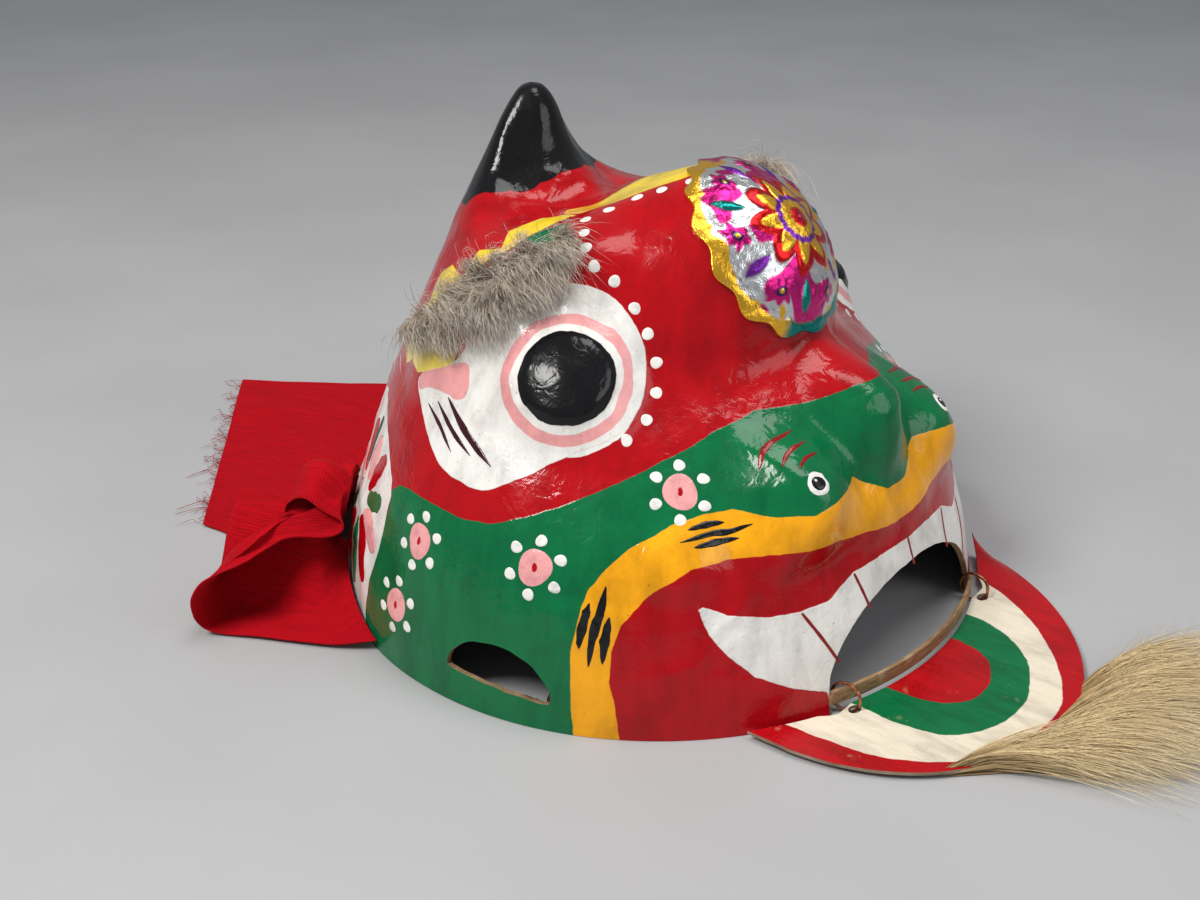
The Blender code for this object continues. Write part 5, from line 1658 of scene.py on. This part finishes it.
@dataclass
class Beard:
    """Combed sisal fibres glued under the jaw's front edge."""

    fibres: int = 4400
    places: int = 7
    strays: int = 60
    locks: int = 44
    radius: float = 0.00013
    length: float = 0.112
    root: tuple = (-0.74, 0.17)
    sweep: tuple = (math.radians(-46.0), math.radians(-31.0))
    loft: float = 0.0105
    under: float = 0.0019

    def build(self, jaw: JawFlap) -> bpy.types.Object:
        """Grows the fibres from under the card and combs them into locks.

        Args:
            jaw: the card that they are glued to.

        Returns:
            The finished piece.
        """
        rng = np.random.default_rng(81)
        surface = Surface.empty()
        self.core(surface, jaw)
        count = self.fibres
        across = rng.uniform(0, 1, count)
        centres = np.sort(rng.uniform(0, 1, self.locks))
        own = np.abs(across[:, None] - centres).argmin(axis=1)
        lock_bend = rng.normal(0, 0.10, self.locks)
        bend = lock_bend[own] + rng.normal(0, 0.075, count)
        reach = 0.97 * self.length * rng.uniform(0.62, 1.0, count)
        reach = reach * (1 - 0.10 * rng.uniform(0, 1, self.locks)[own])
        stray = rng.uniform(0, 1, count) < self.strays / count
        bend = np.where(stray, rng.normal(-0.10, 0.16, count), bend)
        share = np.linspace(0, 1, self.places)[None, :]
        gather = 0.55 * share**1.2
        root_share = across[:, None] * (1 - gather) + centres[own][:, None] * gather
        span = jaw.half_width * (self.root[0] + (self.root[1] - self.root[0]) * root_share)
        base_y = jaw.edges(span)[1] + 0.003
        heading = self.sweep[0] + (self.sweep[1] - self.sweep[0]) * root_share
        heading = heading + bend[:, None] * (0.4 + share)
        heading = heading + 0.10 * np.sin(share * 3 + across[:, None] * 40)
        x = span + share * reach[:, None] * np.cos(heading)
        y = base_y + share * reach[:, None] * np.sin(heading)
        layer = rng.uniform(0, 1, (count, 1)) ** 0.7
        rise = self.loft * np.clip(np.sin(math.pi * np.clip(share * 1.02, 0, 1)), 0, 1) ** 0.7
        z = 0.0006 + layer * (rise + 0.0012 * (1 - share / 2))
        z = z + 0.0006 * share * rng.uniform(0, 1, (count, 1))
        z[:, 0] = 0.0006 + layer[:, 0] * (self.under - 0.0008)
        z = np.minimum(z, 0.0125)
        points = np.stack([x, y, z], axis=-1) + jaw.form.root
        points[..., 2] = np.maximum(points[..., 2], 0.0004)
        radii = self.radius * (1 - 0.5 * share) * rng.uniform(0.7, 1.35, (count, 1))
        surface.add_strands(points, radii, rng.uniform(0, 1, count) ** 1.4)
        finish = HairFinish("combed_sisal", (0.50, 0.33, 0.14), (0.84, 0.64, 0.34),
                            (0.95, 0.80, 0.52), 0.45)
        made = surface.build("sisal_beard", [finish.make()])
        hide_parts("beard")
        return place(made, "jaw", "sisal")

    def core(self, surface: Surface, jaw: JawFlap) -> None:
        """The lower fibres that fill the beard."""
        across = np.linspace(0, 1, 90)
        along = np.linspace(0, 0.93, 50)[:, None]
        span = jaw.half_width * (self.root[0] + (self.root[1] - self.root[0]) * across)
        heading = self.sweep[0] + (self.sweep[1] - self.sweep[0]) * across
        ragged = 1 - 0.16 * np.abs(np.sin(across * 29)) - 0.08 * np.abs(np.sin(across * 61))
        x = span + along * self.length * ragged * np.cos(heading)
        y = jaw.edges(span)[1] + 0.001 + along * self.length * ragged * np.sin(heading)
        ridge = 0.5 + 0.5 * np.abs(np.sin(across * math.pi * 27))
        arched = np.sin(math.pi * np.clip(along / 0.93, 0, 1)) ** 0.7
        top = 0.0010 + 0.55 * self.loft * arched * ridge
        for height, flip in ((top, False), (np.full_like(top, 0.0005), True)):
            points = np.stack(np.broadcast_arrays(x, y, height), axis=-1) + jaw.form.root
            quads = grid_quads(*x.shape)
            count = points.size // 3
            # Painted shade: the fill takes a colour near the roots' and a high shade value, so it
            # stays darker than the fibres over it
            surface.add(points.reshape(-1, 3), quads if flip else quads[:, ::-1], 0,
                        along=np.full(count, 0.12), shade=np.full(count, 0.75))


@dataclass
class TailCloth:
    """Red cotton glued to the rim's back, looped, gathered and laid flat, with a frayed end."""

    form: HeadForm
    thick: float = 0.0006
    rows: int = 300
    columns: int = 110
    crumple: float = 0.07
    crumples: int = 3
    crumple_station: float = 7.5
    crumple_spread: float = 2.2
    wall_gap: float = 0.0030
    back_wall: float = 0.043
    threads: int = 120

    def middle(self) -> np.ndarray:
        """The mid surface through the stations, with folds and crumples.

        Returns:
            Points (rows, columns, 3) in the work frame.
        """
        share = np.linspace(0, 1, self.columns)
        angle = CLOTH_SEAT_ANGLES[0] + share * (CLOTH_SEAT_ANGLES[1] - CLOTH_SEAT_ANGLES[0])
        near, far = CLOTH_SEAT_HEIGHTS
        height = near + share * (far - near)
        ring = height / (SECTIONS[0][1][1] * HEAD_HEIGHT)
        seat = self.form.smooth(angle, ring) + self.form.normal(angle, ring) * 0.0015
        stations = [seat]
        for near, far in CLOTH_STATIONS.values():
            near, far = np.array(near) * CLOTH_REACH, np.array(far) * CLOTH_REACH
            stations.append(near + (far - near) * share[:, None])
        stations = np.array(stations)
        slopes = np.zeros_like(stations)
        slopes[1:-1] = (stations[2:] - stations[:-2]) / 2
        slopes[0], slopes[-1] = stations[1] - stations[0], stations[-1] - stations[-2]
        station = np.linspace(0, len(stations) - 1, self.rows)
        at = np.minimum(station.astype(int), len(stations) - 2)
        step = (station - at)[:, None, None]
        points = through(stations[at], stations[at + 1], slopes[at], slopes[at + 1], step)
        fade = np.exp(-(((station - self.crumple_station) / self.crumple_spread) ** 2))[:, None]
        waves = (1 - np.cos(share * 2 * math.pi * self.crumples)) / 2
        points[..., 2] += self.crumple * CLOTH_REACH * fade * waves * (1 - share) ** 0.5
        # The far half of the lower layer stands up as the back of the loop.
        lower = smooth_step(0.0, 0.9, station) * (1 - smooth_step(2.6, 3.9, station))
        points[..., 2] += self.back_wall * lower[:, None] * smooth_step(0.42, 1.0, share)
        normal = unit(np.cross(np.gradient(points, axis=0), np.gradient(points, axis=1)))
        gathered = np.exp(-(((station - 7.6) / 2.6) ** 2))[:, None]
        folds = (1 - np.abs(value_noise(points * np.array([1, 1, 0.8]), 0.030, 91))) ** 3
        push = (folds - 0.4) * 0.0140 * gathered * (1 - 0.5 * share)
        push += value_noise(points, 0.015, 92) * (0.0004 + 0.0034 * gathered)
        push += value_noise(points, 0.0055, 93) * (0.00012 + 0.0003 * gathered)
        flat = smooth_step(9.5, 11.5, station)[:, None]
        push += flat * 0.0016 * np.clip(value_noise(points, 0.045, 94), 0, 1)
        push *= smooth_step(0.0, 0.8, station)[:, None]
        upward = np.sign(normal[..., 2:]) * normal
        direction = np.where(flat[..., None] > 0.5, upward, normal)
        points = points + direction * push[..., None]
        points[..., 2] = np.maximum(points[..., 2], 0.0004 + self.thick / 2 + 0.0002)
        reach = np.hypot(points[..., 0], points[..., 1])
        turn = np.arctan2(points[..., 0], -points[..., 1])
        lean = np.interp(points[..., 2] / HEAD_HEIGHT, *np.array(SECTIONS[135])[:5, ::-1].T)
        least = self.form.rim_reach(turn) * lean + self.wall_gap + self.thick / 2
        free = smooth_step(0.05, 0.9, station)[:, None]
        points[..., :2] *= (1 + free * (np.maximum(least / reach, 1) - 1))[..., None]
        return points

    def build(self) -> bpy.types.Object:
        """Both faces of the cloth, its selvages and its frayed end."""
        points = self.middle()
        along = np.linalg.norm(np.diff(points, axis=0), axis=-1)
        wide = np.linalg.norm(np.diff(points, axis=1), axis=-1)
        row_length = np.concatenate([[0], np.cumsum(along.mean(axis=1))])
        width = wide.sum(axis=1)
        flat = np.stack(
            [np.linspace(0, 1, self.columns)[None, :] * np.maximum(width[:, None], 0.02),
             np.broadcast_to(row_length[:, None], points.shape[:2])], axis=-1)
        normal = unit(np.cross(np.gradient(points, axis=1), np.gradient(points, axis=0)))
        world = points + self.form.root
        half = normal * self.thick / 2
        surface = Surface.empty()
        quads = grid_quads(self.rows, self.columns)
        uv = flat.reshape(-1, 2)
        surface.add((world + half).reshape(-1, 3), quads, threads_uv=uv)
        surface.add((world - half).reshape(-1, 3), quads[:, ::-1], threads_uv=uv)
        surface.add_rim((world + half).reshape(-1, 3), (world - half).reshape(-1, 3), split(quads),
                        0, threads_uv=uv)
        made = surface.build("cotton_tail", [self.finish()])
        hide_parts("tail_cloth")
        fray = self.fray(points)
        return place(made, "head", "red_cotton")

    def fray(self, points: np.ndarray) -> bpy.types.Object:
        """Loose curly threads along the torn end."""
        rng = np.random.default_rng(95)
        at = rng.uniform(0, self.columns - 1.001, self.threads)
        low = at.astype(int)
        base = points[-2, low] + (points[-2, low + 1] - points[-2, low]) * (at - low)[:, None]
        out = unit(points[-1, low] - points[-6, low]) * np.array([1, 1, 0])
        aside = np.stack([-out[:, 1], out[:, 0], np.zeros(self.threads)], axis=-1)
        share = np.linspace(0, 1, 9)[None, :, None]
        reach = 0.003 + 0.014 * rng.uniform(0, 1, (self.threads, 1, 1)) ** 2
        curl = rng.normal(0, 0.7, (self.threads, 1, 1))
        wave = share * rng.uniform(2, 9, (self.threads, 1, 1))
        wave = np.sin(wave + rng.uniform(0, 6, (self.threads, 1, 1)))
        paths = (
            base[:, None]
            + out[:, None] * reach * share
            + aside[:, None] * reach * (curl * share**1.5 + 0.34 * wave * share)
        )
        rise = 0.0016 * rng.uniform(0, 1, (self.threads, 1))
        paths[..., 2] = 0.0009 + rise * np.sin(share[..., 0] * 3)
        paths[:, 0, 2] = np.maximum(base[:, 2], 0.0006)
        radii = np.full(paths.shape[:2], 0.00016) * rng.uniform(0.6, 1.2, (self.threads, 1))
        surface = Surface.empty()
        surface.add_strands(paths + self.form.root, radii)
        made = surface.build("cotton_fray", [self.thread_finish()])
        return place(made, "head", "red_cotton")

    @staticmethod
    def thread_finish() -> bpy.types.Material:
        """Red yarn with an uneven dye."""
        s = Shader("cotton_yarn")
        colour = s.mix(s.noise(300, 3), (0.50, 0.006, 0.018), (0.28, 0.004, 0.012))
        return s.finish(base_color=colour, roughness=0.85, specular_ior_level=0.12)

    @staticmethod
    def finish() -> bpy.types.Material:
        """Plain weave: two crossed waves of threads, slubs and creases."""
        s = Shader("plain_cotton")
        flat = s.node("UVMap", 0, uv_map="threads_uv")
        wave = {"Vector": flat, "Scale": 270.0, "Distortion": 0.6, "Detail": 1.0}
        warp = s.node("TexWave", 1, wave, bands_direction="X")
        weft = s.node("TexWave", 1, wave, bands_direction="Y")
        weave = s.math("MAXIMUM", warp, weft)
        drawn = s.node("Mapping", 0, {"Vector": flat, "Scale": (1.0, 0.06, 1.0)})
        slub = s.noise(700, 3, 0.6, vector=drawn)
        tone = s.between(slub, 0.3, 0.75)
        colour = s.mix(tone, (0.50, 0.0015, 0.0085), (0.36, 0.001, 0.006))
        # Painted shade: the hollows between the threads are darkened
        colour = s.mix(s.between(weave, 0.0, 0.8, 0.32, 0.0), colour, (0.10, 0.0, 0.004))
        height = s.math("ADD", weave, s.math("MULTIPLY", slub, 0.5))
        crease = s.bump(s.noise(160, 4, 0.6), 0.0008)
        return s.finish(base_color=colour, roughness=0.90, specular_ior_level=0.12,
                        normal=s.bump(height, 0.00022, 1.0, crease))


@dataclass(frozen=True)
class Studio:
    """A plain pale floor under soft light, and the camera of the photograph."""

    camera_place: tuple = (-0.56266, -0.45380, 0.39726)
    camera_turn: tuple = (math.radians(65.0), 0.0, math.radians(-51.6))
    lens: float = 48.0
    sensor: float = 36.0
    floor_reach: float = 8.0

    def floor(self) -> None:
        """A pale matt sheet."""
        surface = Surface.empty()
        reach = self.floor_reach
        corners = np.array([(-1, -1, 0), (1, -1, 0), (1, 1, 0), (-1, 1, 0)]) * reach
        surface.add(corners - np.array([0, 0, 0.0002]), np.array([[0, 1, 2, 3]]))
        s = Shader("pale_board")
        tone = s.between(s.noise(5, 4, 0.5), 0.3, 0.7)
        colour = s.mix(tone, (0.42, 0.42, 0.428), (0.39, 0.39, 0.398))
        made = surface.build("floor", [s.finish(base_color=colour, roughness=0.7)])

    def light(self, name: str, place_at: tuple, aim: tuple, size: float, power: float,
              colour: tuple) -> None:
        """An area light that faces a point."""
        data = bpy.data.lights.new(name, "AREA")
        data.shape = "DISK"
        data.size, data.energy, data.color = size, power, colour
        made = bpy.data.objects.new(name, data)
        bpy.context.scene.collection.objects.link(made)
        made.location = place_at
        made.rotation_euler = (Vector(aim) - Vector(place_at)).to_track_quat("-Z", "Y").to_euler()

    def build(self) -> None:
        """Floor, lights, sky and camera."""
        self.floor()
        data = bpy.data.cameras.new("photo_camera")
        data.lens, data.sensor_width = self.lens, self.sensor
        camera = bpy.data.objects.new("photo_camera", data)
        bpy.context.scene.collection.objects.link(camera)
        camera.location, camera.rotation_euler = self.camera_place, self.camera_turn
        bpy.context.scene.camera = camera
        self.light("key_box", (-1.15, 0.20, 1.50), (0.0, -0.05, 0.08), 0.70, 29.0,
                   (1.0, 0.98, 0.95))
        self.light("top_box", (0.25, -0.35, 1.80), (0.0, 0.0, 0.08), 0.90, 11.5, (1.0, 0.99, 0.97))
        self.light("front_fill", (0.35, -1.60, 0.90), (0.0, 0.0, 0.08), 1.10, 7.0,
                   (0.97, 0.98, 1.0))
        world = bpy.data.worlds.new("soft_room")
        world.use_nodes = True
        sky = world.node_tree.nodes["Background"].inputs
        sky["Color"].default_value = (0.92, 0.96, 1.0, 1)
        sky["Strength"].default_value = 0.27
        bpy.context.scene.world = world
        bpy.context.scene.view_settings.view_transform = "Standard"


def main() -> None:
    """Builds every piece in order."""
    logging.basicConfig(level=logging.INFO, format="%(name)s: %(message)s")
    shell_low, shell_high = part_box("head_shell")
    strip_low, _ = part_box("mouth_strip")
    root = np.array([(shell_low[0] + shell_high[0]) / 2, strip_low[1] + FRONT_REACH, 0.0])
    form = HeadForm(root)
    PaintedShell(form).build()
    PaintedMarks(form).build()
    ForeheadFoil(form).build()
    BrowFur("brow_fur_right", -1.0, form).build()
    BrowFur("brow_fur_left", 1.0, form).build()
    MouthHoop(form).build()
    CopperRing().build("wire_ring_right", 1)
    CopperRing().build("wire_ring_left", 2)
    jaw = JawFlap(form)
    jaw.build()
    Beard().build(jaw)
    TailCloth(form).build()
    Studio().build()


if __name__ == "__main__":
    main()
